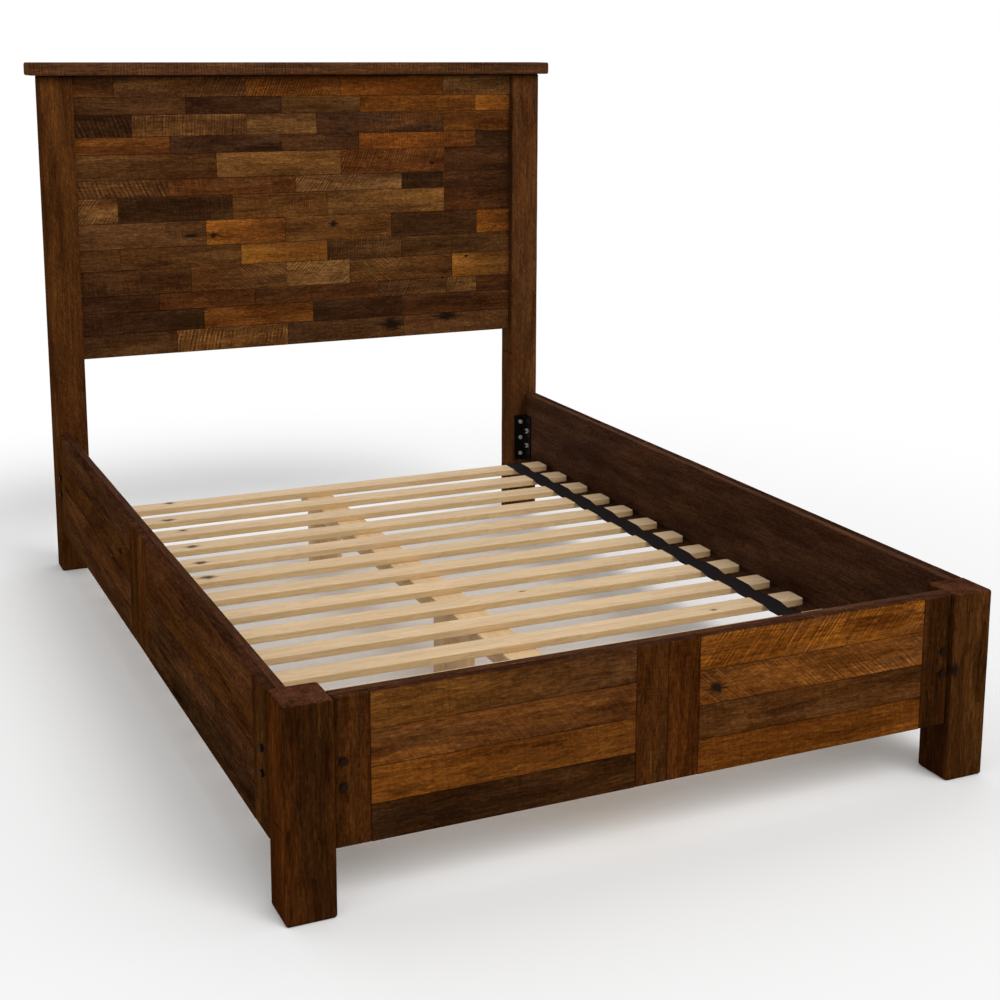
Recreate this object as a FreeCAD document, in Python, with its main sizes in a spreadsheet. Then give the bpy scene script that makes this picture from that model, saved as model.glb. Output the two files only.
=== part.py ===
import FreeCAD, Part
import os
import re
import Sketcher
from FreeCAD import Placement, Rotation, Vector

# Barnwood bed: a headboard with a mosaic of reclaimed strips, two foot legs, three faced rails
# bolted to the posts through angle brackets, and a drop-in deck of slats on two webbing straps.
# Millimetres. X runs across the bed, Y towards the headboard, Z up from the floor.
# The origin is on the floor, in the middle of the bed's length and width.

# Driving sizes
SIZES = {
    # the mattress and the room left round it
    "mattress_width": 1372.0,
    "mattress_length": 2032.0,
    "mattress_side_play": 8.0,
    "mattress_end_play": 3.0,
    # rails: an inner board with a facing of battens and short boards
    "rail_core": 18.0,
    "rail_facing": 18.0,
    "rail_top": 388.0,
    "rail_depth": 269.0,
    "rail_ease": 2.0,
    "front_batten": 66.0,
    "side_batten": 84.0,
    "board_joint": 0.4,
    "batten_end_round": 5.0,
    # foot legs
    "leg_width": 90.0,
    "leg_height": 390.0,
    "leg_round": 6.0,
    "leg_foot_round": 5.0,
    "leg_top_round": 3.0,
    "front_setback": 12.0,
    # headboard posts and cap
    "post_width": 86.0,
    "post_depth": 74.0,
    "post_height": 1366.0,
    "post_stand_out": 3.0,
    "post_round": 4.0,
    "tenon_length": 16.0,
    "tenon_width": 52.0,
    "tenon_thick": 34.0,
    "cap_thick": 34.0,
    "cap_end_overhang": 26.0,
    "cap_front_overhang": 17.0,
    "cap_back_overhang": 17.0,
    "cap_round": 5.0,
    # headboard panel
    "panel_core": 12.0,
    "panel_recess": 19.0,
    "panel_groove": 10.0,
    "strip_thick": 14.0,
    "strip_recess": 0.8,
    "narrow_course": 47.5,
    "medium_course": 59.5,
    "wide_course": 70.5,
    "bottom_course": 63.5,
    # corner brackets and their fasteners
    "bracket_rise": 132.0,
    "bracket_height": 140.0,
    "bracket_thick": 4.0,
    "bracket_rail_flange": 46.0,
    "bracket_post_flange": 36.0,
    "bracket_bend": 3.0,
    "bolt_spacing": 46.0,
    "side_bolt_inset": 28.0,
    "front_bolt_inset": 17.0,
    "bolt_shank": 8.0,
    "bolt_flats": 13.0,
    "bolt_head": 5.5,
    "bolt_tip": 1.0,
    "bolt_spare": 3.0,
    "nut_flats": 13.0,
    "nut_thick": 6.5,
    "lag_spacing": 50.0,
    "lag_stagger": 13.0,
    "lag_inset": 18.0,
    "lag_shank": 6.5,
    "lag_length": 42.0,
    "lag_point": 7.0,
    "lag_flats": 11.0,
    "lag_head": 4.5,
    "screw_shank": 4.5,
    "screw_head": 8.6,
    "screw_length": 50.0,
    "screw_point": 6.0,
    "hole_play": 0.3,
    # slats, straps and what carries them
    "slat_width": 60.0,
    "slat_thick": 16.0,
    "slat_head_gap": 134.0,
    "slat_foot_gap": 108.5,
    "slat_end_gap": 15.0,
    "slat_corner": 6.0,
    "slat_ease": 1.5,
    "strap_width": 48.0,
    "strap_thick": 1.8,
    "strap_inset": 64.0,
    "strap_sag": 8.0,
    "strap_lift": 0.3,
    "ledger_lift": 30.5,
    "ledger_width": 38.0,
    "ledger_end_gap": 6.0,
    "ledger_ease": 2.0,
    "ledger_screw_inset": 60.0,
    "beam_width": 78.0,
    "beam_thick": 38.0,
    "beam_offset": -42.0,
    "beam_end_gap": 2.0,
    "beam_head_inset": 8.0,
    "cleat_width": 120.0,
    "cleat_lift": 0.5,
    "cleat_thick": 38.0,
    "cleat_screw_inset": 26.0,
    "centre_leg_depth": 64.0,
    "centre_leg_head_inset": 60.0,
    "centre_leg_spacing": 940.0,
    "centre_leg_round": 3.0,
}

# Rows of boards in a rail's facing, screws in a ledger, and slats spread evenly over the deck
COUNTS = {
    "facing_rows": 4,
    "ledger_screws": 6,
    "slat_count": 14,
}

# Headboard courses from the top down: board width, then strip lengths from the left post.
# The last strip of a course is cut to meet the right post.
COURSES = (
    ("medium_course", (112, 367, 279, 320, 216)),
    ("narrow_course", (308, 274, 235, 363, 114)),
    ("medium_course", (157, 322, 207, 392, 216)),
    ("narrow_course", (261, 319, 233, 370, 110)),
    ("wide_course", (390, 368, 322, 214)),
    ("narrow_course", (250, 369, 326, 129, 220)),
    ("wide_course", (112, 321, 279, 368, 214)),
    ("wide_course", (355, 232, 322, 276, 109)),
    ("medium_course", (112, 342, 258, 228, 354)),
    ("wide_course", (309, 278, 193, 325, 188)),
    ("narrow_course", (216, 278, 372, 220, 99, 109)),
    ("medium_course", (112, 230, 324, 276, 352)),
    ("bottom_course", (264, 323, 360, 347)),
)

# A strip shorter than this is not cut: the strip before it runs on to the post
SHORTEST_STRIP = 40.0

# Strips come in three thicknesses, one step apart
STRIP_GRADES = 3

# Places worked out from the driving sizes
PLACES = {
    "inner_width": "mattress_width + 2 * mattress_side_play",
    "inner_length": "mattress_length + 2 * mattress_end_play",
    "rail_thick": "rail_core + rail_facing",
    "half_inner": "inner_width / 2",
    "half_outer": "half_inner + rail_thick",
    "foot_y": "-(front_setback + rail_thick + inner_length + post_depth + cap_back_overhang) / 2",
    "front_face_y": "foot_y + front_setback",
    "front_core_y": "front_face_y + rail_facing",
    "front_inner_y": "front_core_y + rail_core",
    "leg_back_y": "foot_y + leg_width",
    "leg_inner_x": "half_outer - leg_width",
    "post_front_y": "front_inner_y + inner_length",
    "post_back_y": "post_front_y + post_depth",
    "post_outer_x": "half_outer + post_stand_out",
    "post_inner_x": "post_outer_x - post_width",
    "rail_bottom": "rail_top - rail_depth",
    "bracket_middle": "rail_bottom + bracket_rise",
    "side_rail_length": "post_front_y - leg_back_y",
    "front_rail_length": "2 * leg_inner_x",
    "side_board": "side_rail_length / 2 - 2 * side_batten",
    "front_board": "front_rail_length / 2 - 2 * front_batten",
    "row_height": "rail_depth / facing_rows",
    "panel_face_y": "post_front_y + panel_recess",
    "panel_core_y": "panel_face_y + strip_thick",
    "panel_width": "2 * post_inner_x",
    "ledger_bottom": "rail_bottom + ledger_lift",
    "slat_bottom": "ledger_bottom + ledger_width",
    "slat_top": "slat_bottom + slat_thick",
    "slat_length": "inner_width - 2 * slat_end_gap",
    "slat_pitch": "(inner_length - slat_head_gap - slat_foot_gap - slat_width) / (slat_count - 1)",
    "first_slat_y": "post_front_y - slat_head_gap - slat_width",
    "last_slat_y": "first_slat_y - (slat_count - 1) * slat_pitch",
    "slat_gap": "slat_pitch - slat_width",
    "sag_radius": "(slat_gap * slat_gap / 4 + strap_sag * strap_sag) / (2 * strap_sag)",
    "ledger_foot_y": "leg_back_y + bracket_rail_flange + ledger_end_gap",
    "ledger_head_y": "post_front_y - bracket_rail_flange - ledger_end_gap",
    "ledger_length": "ledger_head_y - ledger_foot_y",
    "ledger_screw_step": "(ledger_length - 2 * ledger_screw_inset) / (ledger_screws - 1)",
    "beam_bottom": "slat_bottom - beam_thick",
    "cleat_bottom": "rail_bottom + cleat_lift",
    "cleat_height": "beam_bottom - cleat_bottom",
    "beam_foot_y": "front_inner_y + beam_end_gap",
    "beam_head_y": "first_slat_y + slat_width - beam_head_inset",
    "beam_left_x": "beam_offset - beam_width / 2",
    "head_leg_y": "beam_head_y - centre_leg_head_inset - centre_leg_depth",
    "foot_leg_y": "head_leg_y - centre_leg_spacing",
    "bolt_length": "rail_thick + bracket_thick + nut_thick + bolt_spare",
    "bolt_hole": "bolt_shank / 2 + hole_play",
    "lag_hole": "lag_shank / 2 + hole_play",
    "screw_hole": "screw_shank / 2 + hole_play",
    "lag_bite": "lag_length - bracket_thick",
}

AXES = {
    "x": Rotation(Vector(0, 1, 0), 90),
    "-x": Rotation(Vector(0, 1, 0), -90),
    "y": Rotation(Vector(1, 0, 0), -90),
    "-y": Rotation(Vector(1, 0, 0), 90),
    "z": Rotation(),
    "-z": Rotation(Vector(1, 0, 0), 180),
}

doc = FreeCAD.newDocument("barnwood_bed")
pieces = []


# Sheets and expressions

def strip_alias(course, strip):
    """Name of the cell with one strip's length."""
    return "course_%02d_strip_%d" % (course, strip)


def fill_sheet(name, rows):
    """A sheet with one named cell to a row."""
    sheet = doc.addObject("Spreadsheet::Sheet", name)
    for number, (alias, content) in enumerate(rows, start=1):
        sheet.set("A%d" % number, alias)
        sheet.set("B%d" % number, content)
        sheet.setAlias("B%d" % number, alias)
    doc.recompute()
    return sheet


def linked(text):
    """The expression with each size and place written as a reference to its sheet."""
    def reference(match):
        word = match.group(0)
        if word in PLACES:
            return "places." + word
        if word in size_names:
            return "sizes." + word
        return word
    return re.sub(r"[a-z_][a-z_0-9]*", reference, text)


def bind(thing, name, text):
    """Tie a property to an expression."""
    thing.setExpression(name, linked(text))


def value(name):
    """Present value of a size or place."""
    return float(places.get(name) if name in PLACES else sizes.get(name))


strip_sizes = {
    strip_alias(course, strip): float(length)
    for course, (board, lengths) in enumerate(COURSES, start=1)
    for strip, length in enumerate(lengths, start=1)
}
all_sizes = SIZES | COUNTS | strip_sizes
size_names = set(all_sizes)
sizes = fill_sheet("sizes", [(name, str(number)) for name, number in all_sizes.items()])
places = fill_sheet("places", [(name, "=" + linked(text)) for name, text in PLACES.items()])


# Making pieces

def place(thing, at, turn=None):
    """Put a thing at a point given by three expressions."""
    thing.Placement = Placement(Vector(), turn or Rotation())
    for letter, text in zip("xyz", at):
        bind(thing, "Placement.Base." + letter, text)


def keep(thing, label):
    """Add a finished sub-part under its own label."""
    thing.Label = label
    pieces.append(thing)
    return thing


def new_body(name):
    """An empty body."""
    return doc.addObject("PartDesign::Body", name)


def block(body, size, at=("0", "0", "0"), kind="Additive"):
    """A box added to a body, or cut from it."""
    box = body.newObject("PartDesign::%sBox" % kind, "block")
    for name, text in zip(("Length", "Width", "Height"), size):
        bind(box, name, text)
    place(box, at)
    doc.recompute()
    return box


def drill(body, radius, depth, at, axis):
    """A round hole into a body along an axis."""
    before = body.Shape.Volume
    hole = body.newObject("PartDesign::SubtractiveCylinder", "hole")
    bind(hole, "Radius", radius)
    bind(hole, "Height", depth)
    place(hole, at, AXES[axis])
    doc.recompute()
    if body.Shape.Volume >= before:
        raise RuntimeError("hole misses " + body.Name)
    return hole


def edge_names(shape, test):
    """Names of the straight edges whose middle point and direction pass a test."""
    names = []
    for number, edge in enumerate(shape.Edges, start=1):
        if isinstance(edge.Curve, Part.Line):
            middle = edge.valueAt((edge.FirstParameter + edge.LastParameter) / 2)
            if test(middle, edge.tangentAt(edge.FirstParameter)):
                names.append("Edge%d" % number)
    return names


def ease(body, radius, test):
    """Round the edges of a body that pass a test."""
    base = body.Tip
    fillet = body.newObject("PartDesign::Fillet", "ease")
    fillet.Base = (base, edge_names(base.Shape, test))
    bind(fillet, "Radius", radius)
    doc.recompute()
    return fillet


def along(letter):
    """Test for edges that run along an axis."""
    return lambda middle, way: abs(getattr(way, letter)) > 0.99


def ring(level):
    """Test for the straight edges that lie at a height."""
    return lambda middle, way: abs(middle.z - level) < 1e-6 and abs(way.z) < 0.01


def top_arris(run, face, inner):
    """Test for the upper inner edge of a rail's inner board."""
    half = value("rail_depth") / 2
    return lambda middle, way: (abs(getattr(way, run)) > 0.99 and middle.z > half
                                and abs(getattr(middle, face) - inner) < 1e-6)


def end_arris(side, far, out):
    """Test for the upright outer edge at one end of a rail's facing."""
    run, face = ("x", "y") if side == "front" else ("y", "x")
    return lambda middle, way: (abs(way.z) > 0.99 and abs(getattr(middle, run) - far) < 1e-6
                                and abs(getattr(middle, face) - out) < 1e-6)


def sketch_on(body, role):
    """A sketch on one of a body's own planes."""
    sketch = body.newObject("Sketcher::SketchObject", "sketch")
    plane = next(feature for feature in body.Origin.OriginFeatures if feature.Role == role)
    sketch.AttachmentSupport = [(plane, "")]
    sketch.MapMode = "FlatFace"
    return sketch


def number_of(text):
    """Present value of an expression."""
    return float(places.evalExpression(linked(text)))


def fix_point(sketch, geometry, end, at, name):
    """Tie one end of a line or arc to a point given by two expressions."""
    for letter, text in zip("XY", at):
        row = sketch.addConstraint(
            Sketcher.Constraint("Distance" + letter, -1, 1, geometry, end, number_of(text)))
        sketch.renameConstraint(row, "%s_%s" % (name, letter.lower()))
        bind(sketch, "Constraints.%s_%s" % (name, letter.lower()), text)


def outline(sketch, points, bows=()):
    """A closed outline through points; a side listed in bows is an arc with a radius.

    A bow is (side number, radius, centre) and runs anticlockwise about its centre
    from the side's first point, or from its second where the radius has a minus sign.
    """
    spots = [Vector(number_of(a), number_of(b), 0) for a, b in points]
    arcs = {side: (radius, centre) for side, radius, centre in bows}
    starts = {}
    for side, spot in enumerate(spots):
        after = spots[(side + 1) % len(spots)]
        if side not in arcs:
            geometry = sketch.addGeometry(Part.LineSegment(spot, after))
            starts[side] = (geometry, 1, 2)
            continue
        radius, centre = arcs[side]
        middle = Vector(number_of(centre[0]), number_of(centre[1]), 0)
        first, last = (after, spot) if radius.startswith("-") else (spot, after)
        circle = Part.Circle(middle, Vector(0, 0, 1), first.distanceToPoint(middle))
        arc = Part.ArcOfCircle(circle, circle.parameter(first), circle.parameter(last))
        geometry = sketch.addGeometry(arc)
        starts[side] = (geometry, 2, 1) if radius.startswith("-") else (geometry, 1, 2)
        row = sketch.addConstraint(Sketcher.Constraint("Radius", geometry, circle.Radius))
        sketch.renameConstraint(row, "bow_%d" % side)
        bind(sketch, "Constraints.bow_%d" % side, radius.lstrip("-"))
    for side, point in enumerate(points):
        geometry, start, end = starts[side]
        following, following_start, _ = starts[(side + 1) % len(points)]
        sketch.addConstraint(
            Sketcher.Constraint("Coincident", geometry, end, following, following_start))
        fix_point(sketch, geometry, start, point, "point_%d" % side)
    doc.recompute()


def pad(body, sketch, length):
    """A sketch given a thickness."""
    feature = body.newObject("PartDesign::Pad", "pad")
    feature.Profile = sketch
    bind(feature, "Length", length)
    doc.recompute()
    return feature


def plain_board(name, size, at):
    """A square-edged board."""
    box = doc.addObject("Part::Box", name)
    for side, text in zip(("Length", "Width", "Height"), size):
        bind(box, side, text)
    place(box, at)
    return box


def group(label, things):
    """Separate solids kept together as one sub-part."""
    compound = doc.addObject("Part::Compound", label)
    compound.Links = things
    return keep(compound, label)


def copies(label, source, spots):
    """One fastener repeated at places given by points and turns."""
    links = []
    for at, turn in spots:
        link = doc.addObject("App::Link", source.Name + "_copy")
        link.LinkedObject = source
        place(link, at, turn)
        links.append(link)
    return group(label, links)


# Where the brackets, bolts and lag screws sit

# Half turns carry the left head corner to the others; front corners turn a quarter first
HALF_TURNS = {
    "left_head": Rotation(),
    "right_head": Rotation(Vector(0, 1, 0), 180),
    "left_foot": Rotation(Vector(1, 0, 0), 180),
    "right_foot": Rotation(Vector(0, 0, 1), 180),
    "front_left": Rotation(Vector(0, 0, 1), 90),
    "front_right": Rotation(Vector(0, 1, 0), 180) * Rotation(Vector(0, 0, 1), 90),
}
CORNERS = {
    "left_head": ("-half_inner", "post_front_y"),
    "right_head": ("half_inner", "post_front_y"),
    "left_foot": ("-half_inner", "leg_back_y"),
    "right_foot": ("half_inner", "leg_back_y"),
    "front_left": ("-leg_inner_x", "front_inner_y"),
    "front_right": ("leg_inner_x", "front_inner_y"),
}
# Direction of each corner's bolts, head to nut, and of its lag screws, head to point
BOLT_WAYS = {
    "left_head": "x", "left_foot": "x", "right_head": "-x", "right_foot": "-x",
    "front_left": "y", "front_right": "y",
}
LAG_WAYS = {
    "left_head": "y", "right_head": "y", "left_foot": "-y", "right_foot": "-y",
    "front_left": "-x", "front_right": "x",
}
BOLT_LEVELS = ("bracket_middle - bolt_spacing / 2", "bracket_middle + bolt_spacing / 2")
LAG_LEVELS = ("bracket_middle - lag_spacing", "bracket_middle", "bracket_middle + lag_spacing")
# Front brackets have two lag screws, between the levels of those from the side rails
FRONT_LAG_LEVELS = ("bracket_middle - lag_spacing + lag_stagger",
                    "bracket_middle + lag_spacing - lag_stagger")


def shifted(start, way, distance):
    """A point moved along an axis by an expression."""
    sign = "-" if way.startswith("-") else "+"
    return tuple(
        "%s %s (%s)" % (text, sign, distance) if letter == way[-1] else text
        for letter, text in zip("xyz", start))


def opposite(way):
    """The other direction along the same axis."""
    return way[1:] if way.startswith("-") else "-" + way


def bolt_spot(corner, level):
    """Point on the rail's inner face where a bolt comes through."""
    inset = "front_bolt_inset" if corner.startswith("front") else "side_bolt_inset"
    return shifted(CORNERS[corner] + (level,), opposite(LAG_WAYS[corner]), inset)


def lag_levels(corner):
    """Heights of a corner's lag screws."""
    return FRONT_LAG_LEVELS if corner.startswith("front") else LAG_LEVELS


def lag_spot(corner, level):
    """Point on the post or leg where a lag screw goes in."""
    return shifted(CORNERS[corner] + (level,), BOLT_WAYS[corner], "lag_inset")


# Headboard

def make_post(side):
    """A headboard post with a groove for the panel and a stub tenon for the cap."""
    sign = "-" if side == "left" else ""
    left_x = "-post_outer_x" if side == "left" else "post_inner_x"
    body = new_body("post")
    block(body, ("post_width", "post_depth", "post_height"))
    ease(body, "post_round", along("z"))
    block(body, ("tenon_width", "tenon_thick", "tenon_length"),
          ("(post_width - tenon_width) / 2", "(post_depth - tenon_thick) / 2", "post_height"))
    groove_x = "post_width - panel_groove" if side == "left" else "0"
    block(body, ("panel_groove", "panel_core + 2 * hole_play", "post_height - (%s)" % panel_bottom),
          (groove_x, "panel_recess + strip_thick - hole_play", panel_bottom), "Subtractive")
    for level in LAG_LEVELS:
        across = "%shalf_inner - (%s) + (%slag_inset)" % (sign, left_x, "" if side == "left" else "-")
        drill(body, "lag_hole", "lag_bite + hole_play", (across, "0", level), "y")
    place(body, (left_x, "post_front_y", "0"))
    return keep(body, "headboard_%s_post" % side)


def make_cap():
    """The cap board, with a mortise over each post."""
    length = "2 * (post_outer_x + cap_end_overhang)"
    depth = "post_depth + cap_front_overhang + cap_back_overhang"
    body = new_body("cap")
    block(body, (length, depth, "cap_thick"))
    ease(body, "cap_round", lambda middle, way: True)
    for shift in ("0", "2 * post_outer_x - post_width"):
        block(body, ("tenon_width + 2 * hole_play", "tenon_thick + 2 * hole_play",
                     "tenon_length + hole_play"),
              ("cap_end_overhang + (post_width - tenon_width) / 2 - hole_play + " + shift,
               "cap_front_overhang + (post_depth - tenon_thick) / 2 - hole_play", "0"),
              "Subtractive")
    place(body, ("-(post_outer_x + cap_end_overhang)", "post_front_y - cap_front_overhang",
                 "post_height"))
    return keep(body, "headboard_cap")


def make_back_panel():
    """The sheet behind the mosaic, housed in the grooves of both posts."""
    tongue = "panel_groove - hole_play"
    board = plain_board(
        "back_panel",
        ("panel_width + 2 * (%s)" % tongue, "panel_core", "post_height - (%s)" % panel_bottom),
        ("-post_inner_x - (%s)" % tongue, "panel_core_y", panel_bottom))
    return keep(board, "headboard_back_panel")


def strips_that_fit(course, lengths):
    """Start and length of each strip laid from the left post; the last is cut to the right one."""
    laid = []
    start = "0"
    left = value("panel_width")
    for strip in range(1, len(lengths) + 1):
        alias = strip_alias(course, strip)
        if strip == len(lengths) or left - value(alias) < SHORTEST_STRIP:
            laid.append((start, "panel_width - (%s)" % start))
            break
        laid.append((start, alias))
        start = "%s + %s" % (start, alias)
        left -= value(alias)
    return laid


def make_courses():
    """One group of strips for each course of the mosaic."""
    top = "post_height"
    for course, (board, lengths) in enumerate(COURSES, start=1):
        bottom = "%s - %s" % (top, board)
        strips = []
        for strip, (start, length) in enumerate(strips_that_fit(course, lengths)):
            grade = (strip + 2 * course) % STRIP_GRADES
            strips.append(plain_board(
                "strip",
                ("%s - board_joint" % length, "strip_thick - %d * strip_recess" % grade,
                 "%s - board_joint" % board),
                ("-post_inner_x + board_joint / 2 + " + start,
                 "panel_face_y + %d * strip_recess" % grade,
                 bottom + " + board_joint / 2")))
        group("headboard_course_%02d" % course, strips)
        top = bottom


# Foot legs and rails

def make_leg(side):
    """A square foot leg with rounded arrises."""
    left_x = "-half_outer" if side == "left" else "leg_inner_x"
    sign = "-" if side == "left" else ""
    body = new_body("leg")
    sketch = sketch_on(body, "XY_Plane")
    outline(sketch, (("0", "0"), ("leg_width", "0"), ("leg_width", "leg_width"), ("0", "leg_width")))
    pad(body, sketch, "leg_height")
    ease(body, "leg_round", along("z"))
    ease(body, "leg_foot_round", ring(0.0))
    ease(body, "leg_top_round", ring(value("leg_height")))
    for level in LAG_LEVELS:
        across = "%shalf_inner - (%s) + (%slag_inset)" % (sign, left_x, "" if side == "left" else "-")
        drill(body, "lag_hole", "lag_bite + hole_play", (across, "leg_width", level), "-y")
    edge_x, way = ("leg_width", "-x") if side == "left" else ("0", "x")
    for level in FRONT_LAG_LEVELS:
        drill(body, "lag_hole", "lag_bite + hole_play",
              (edge_x, "front_inner_y - foot_y + lag_inset", level), way)
    place(body, (left_x, "foot_y", "0"))
    return keep(body, "foot_%s_leg" % side)


def make_side_core(side):
    """The inner board of a side rail, drilled for its bolts and ledger screws."""
    left_x = "-half_inner - rail_core" if side == "left" else "half_inner"
    inner_x, way = ("rail_core", "-x") if side == "left" else ("0", "x")
    body = new_body("side_core")
    block(body, ("rail_core", "side_rail_length", "rail_depth"))
    ease(body, "rail_ease", top_arris("y", "x", number_of(inner_x)))
    for level in BOLT_LEVELS:
        for across in ("side_bolt_inset", "side_rail_length - side_bolt_inset"):
            drill(body, "bolt_hole", "rail_core", ("0", across, level + " - rail_bottom"), "x")
    for number in range(COUNTS["ledger_screws"]):
        at_y = "ledger_foot_y - leg_back_y + ledger_screw_inset + %d * ledger_screw_step" % number
        drill(body, "screw_hole", "screw_length - ledger_width + hole_play",
              (inner_x, at_y, "slat_bottom - ledger_width / 2 - rail_bottom"), way)
    place(body, (left_x, "leg_back_y", "rail_bottom"))
    return keep(body, side + "_rail_core")


def make_front_core():
    """The inner board of the front rail, drilled for its bolts and the cleat's screws."""
    body = new_body("front_core")
    block(body, ("front_rail_length", "rail_core", "rail_depth"))
    ease(body, "rail_ease", top_arris("x", "y", value("rail_core")))
    for level in BOLT_LEVELS:
        for across in ("front_bolt_inset", "front_rail_length - front_bolt_inset"):
            drill(body, "bolt_hole", "rail_core", (across, "0", level + " - rail_bottom"), "y")
    for at_x in CLEAT_SCREWS:
        drill(body, "screw_hole", "screw_length - cleat_thick + hole_play",
              (at_x + " + leg_inner_x", "rail_core", "cleat_bottom + cleat_height / 2 - rail_bottom"), "-y")
    place(body, ("-leg_inner_x", "front_core_y", "rail_bottom"))
    return keep(body, "front_rail_core")


def make_facing(label, length, batten, board, inset, side):
    """The outer layer of a rail: a batten at each end, two in the middle, rows of boards between.

    It is laid out along the rail from its first end; side is left, right or front.
    """
    pieces_here = []

    def spot(run, rise, size):
        """Size and corner of a board that starts at a run along the rail."""
        height, reach = size
        up = "rail_bottom + %s" % rise
        if side == "front":
            return (reach, "rail_facing", height), ("-leg_inner_x + " + run, "front_face_y", up)
        out_x = "-half_outer" if side == "left" else "half_inner + rail_core"
        return ("rail_facing", reach, height), (out_x, "leg_back_y + " + run, up)

    joint = "board_joint / 2"
    reach = batten + " - board_joint"
    for number, run in enumerate(("0", "%s / 2 - %s" % (length, batten), length + " / 2",
                                  "%s - %s" % (length, batten))):
        size, at = spot(run + " + " + joint, joint, ("rail_depth - board_joint", reach))
        if number in (1, 2):
            pieces_here.append(plain_board("batten", size, at))
            continue
        body = new_body("end_batten")
        block(body, size)
        far = 0.0 if number == 0 else number_of(reach)
        out = number_of("rail_facing") if side == "right" else 0.0
        ease(body, "batten_end_round", end_arris(side, far, out))
        edge = inset if number == 0 else "%s - %s" % (batten, inset)
        for level in BOLT_LEVELS:
            run_at = edge + " - " + joint
            rise = level + " - rail_bottom - " + joint
            start = (run_at, "0", rise) if side == "front" else ("0", run_at, rise)
            drill(body, "bolt_hole", "rail_facing", start, "y" if side == "front" else "x")
        place(body, at)
        pieces_here.append(body)
    for run in (batten, "%s / 2 + %s" % (length, batten)):
        for row in range(COUNTS["facing_rows"]):
            size, at = spot("%s + %s" % (run, joint), "%d * row_height + %s" % (row, joint),
                            ("row_height - board_joint", board + " - board_joint"))
            pieces_here.append(plain_board("facing_board", size, at))
    return group(label, pieces_here)


# Brackets and fasteners

def make_bracket(corner):
    """An angle bracket with two bolt holes on the rail and screw holes on the post or leg."""
    inset = "front_bolt_inset" if corner.startswith("front") else "side_bolt_inset"
    body = new_body("bracket")
    sketch = sketch_on(body, "XY_Plane")
    outline(sketch, (("0", "0"), ("0", "-bracket_rail_flange"), ("bracket_thick", "-bracket_rail_flange"),
                     ("bracket_thick", "-bracket_thick"), ("bracket_post_flange", "-bracket_thick"),
                     ("bracket_post_flange", "0")))
    pad(body, sketch, "bracket_height")
    bend = value("bracket_thick")
    ease(body, "bracket_bend", lambda middle, way: abs(way.z) > 0.99
         and abs(middle.x - bend) < 1e-6 and abs(middle.y + bend) < 1e-6)
    for level in BOLT_LEVELS:
        drill(body, "bolt_hole", "bracket_thick",
              ("0", "-" + inset, level + " - bracket_middle + bracket_height / 2"), "x")
    for level in lag_levels(corner):
        drill(body, "lag_hole", "bracket_thick",
              ("lag_inset", "-bracket_thick", level + " - bracket_middle + bracket_height / 2"), "y")
    foot = "bracket_middle %s bracket_height / 2"
    upside_down = corner in ("right_head", "left_foot", "front_right")
    level = foot % ("+" if upside_down else "-")
    place(body, CORNERS[corner] + (level,), HALF_TURNS[corner])
    return keep(body, corner + "_bracket")


def make_bolts():
    """Hexagon bolts, heads on the facing and nuts inside on the brackets."""
    bolt = new_body("rail_bolt")
    stem = bolt.newObject("PartDesign::AdditiveCylinder", "stem")
    bind(stem, "Radius", "bolt_shank / 2")
    bind(stem, "Height", "bolt_length")
    doc.recompute()
    tip = bolt.newObject("PartDesign::Chamfer", "tip")
    tip.Base = (stem, ["Edge%d" % number for number, edge in enumerate(stem.Shape.Edges, start=1)
                       if abs(edge.BoundBox.ZMin - value("bolt_length")) < 1e-6])
    bind(tip, "Size", "bolt_tip")
    doc.recompute()
    add_hexagon_head(bolt, "bolt_flats", "bolt_head")
    blank = doc.addObject("Part::Prism", "nut_blank")
    blank.Polygon = 6
    bind(blank, "Circumradius", "nut_flats / 2 / cos(30)")
    bind(blank, "Height", "nut_thick")
    bore = doc.addObject("Part::Cylinder", "nut_bore")
    bind(bore, "Radius", "bolt_hole")
    bind(bore, "Height", "nut_thick")
    nut = doc.addObject("Part::Cut", "nut")
    nut.Base = blank
    nut.Tool = bore
    doc.recompute()
    heads, nuts = [], []
    for corner, way in BOLT_WAYS.items():
        for level in BOLT_LEVELS:
            start = bolt_spot(corner, level)
            heads.append((shifted(start, opposite(way), "rail_thick"), AXES[way]))
            nuts.append((shifted(start, way, "bracket_thick"), AXES[way]))
    copies("rail_bolts", bolt, heads)
    copies("rail_bolt_nuts", nut, nuts)


def add_hexagon_head(body, flats, thick):
    """A hexagon head below the seat of a bolt or screw."""
    head = body.newObject("PartDesign::AdditivePrism", "head")
    head.Polygon = 6
    bind(head, "Circumradius", flats + " / 2 / cos(30)")
    bind(head, "Height", thick)
    place(head, ("0", "0", "-" + thick))
    doc.recompute()


def make_pointed_screw(name, shank, length, point):
    """The plain shank and point of a screw, from its head seat upwards."""
    body = new_body(name)
    stem = body.newObject("PartDesign::AdditiveCylinder", "stem")
    bind(stem, "Radius", shank + " / 2")
    bind(stem, "Height", "%s - %s" % (length, point))
    doc.recompute()
    tip = body.newObject("PartDesign::AdditiveCone", "tip")
    bind(tip, "Radius1", shank + " / 2")
    bind(tip, "Radius2", shank + " / 8")
    bind(tip, "Height", point)
    place(tip, ("0", "0", "%s - %s" % (length, point)))
    doc.recompute()
    return body


def make_lag_screws():
    """Hexagon lag screws that hold the brackets to the posts and legs."""
    body = make_pointed_screw("lag_screw", "lag_shank", "lag_length", "lag_point")
    add_hexagon_head(body, "lag_flats", "lag_head")
    spots = []
    for corner, way in LAG_WAYS.items():
        for level in lag_levels(corner):
            spots.append((shifted(lag_spot(corner, level), opposite(way), "bracket_thick"), AXES[way]))
    copies("lag_screws", body, spots)


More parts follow.
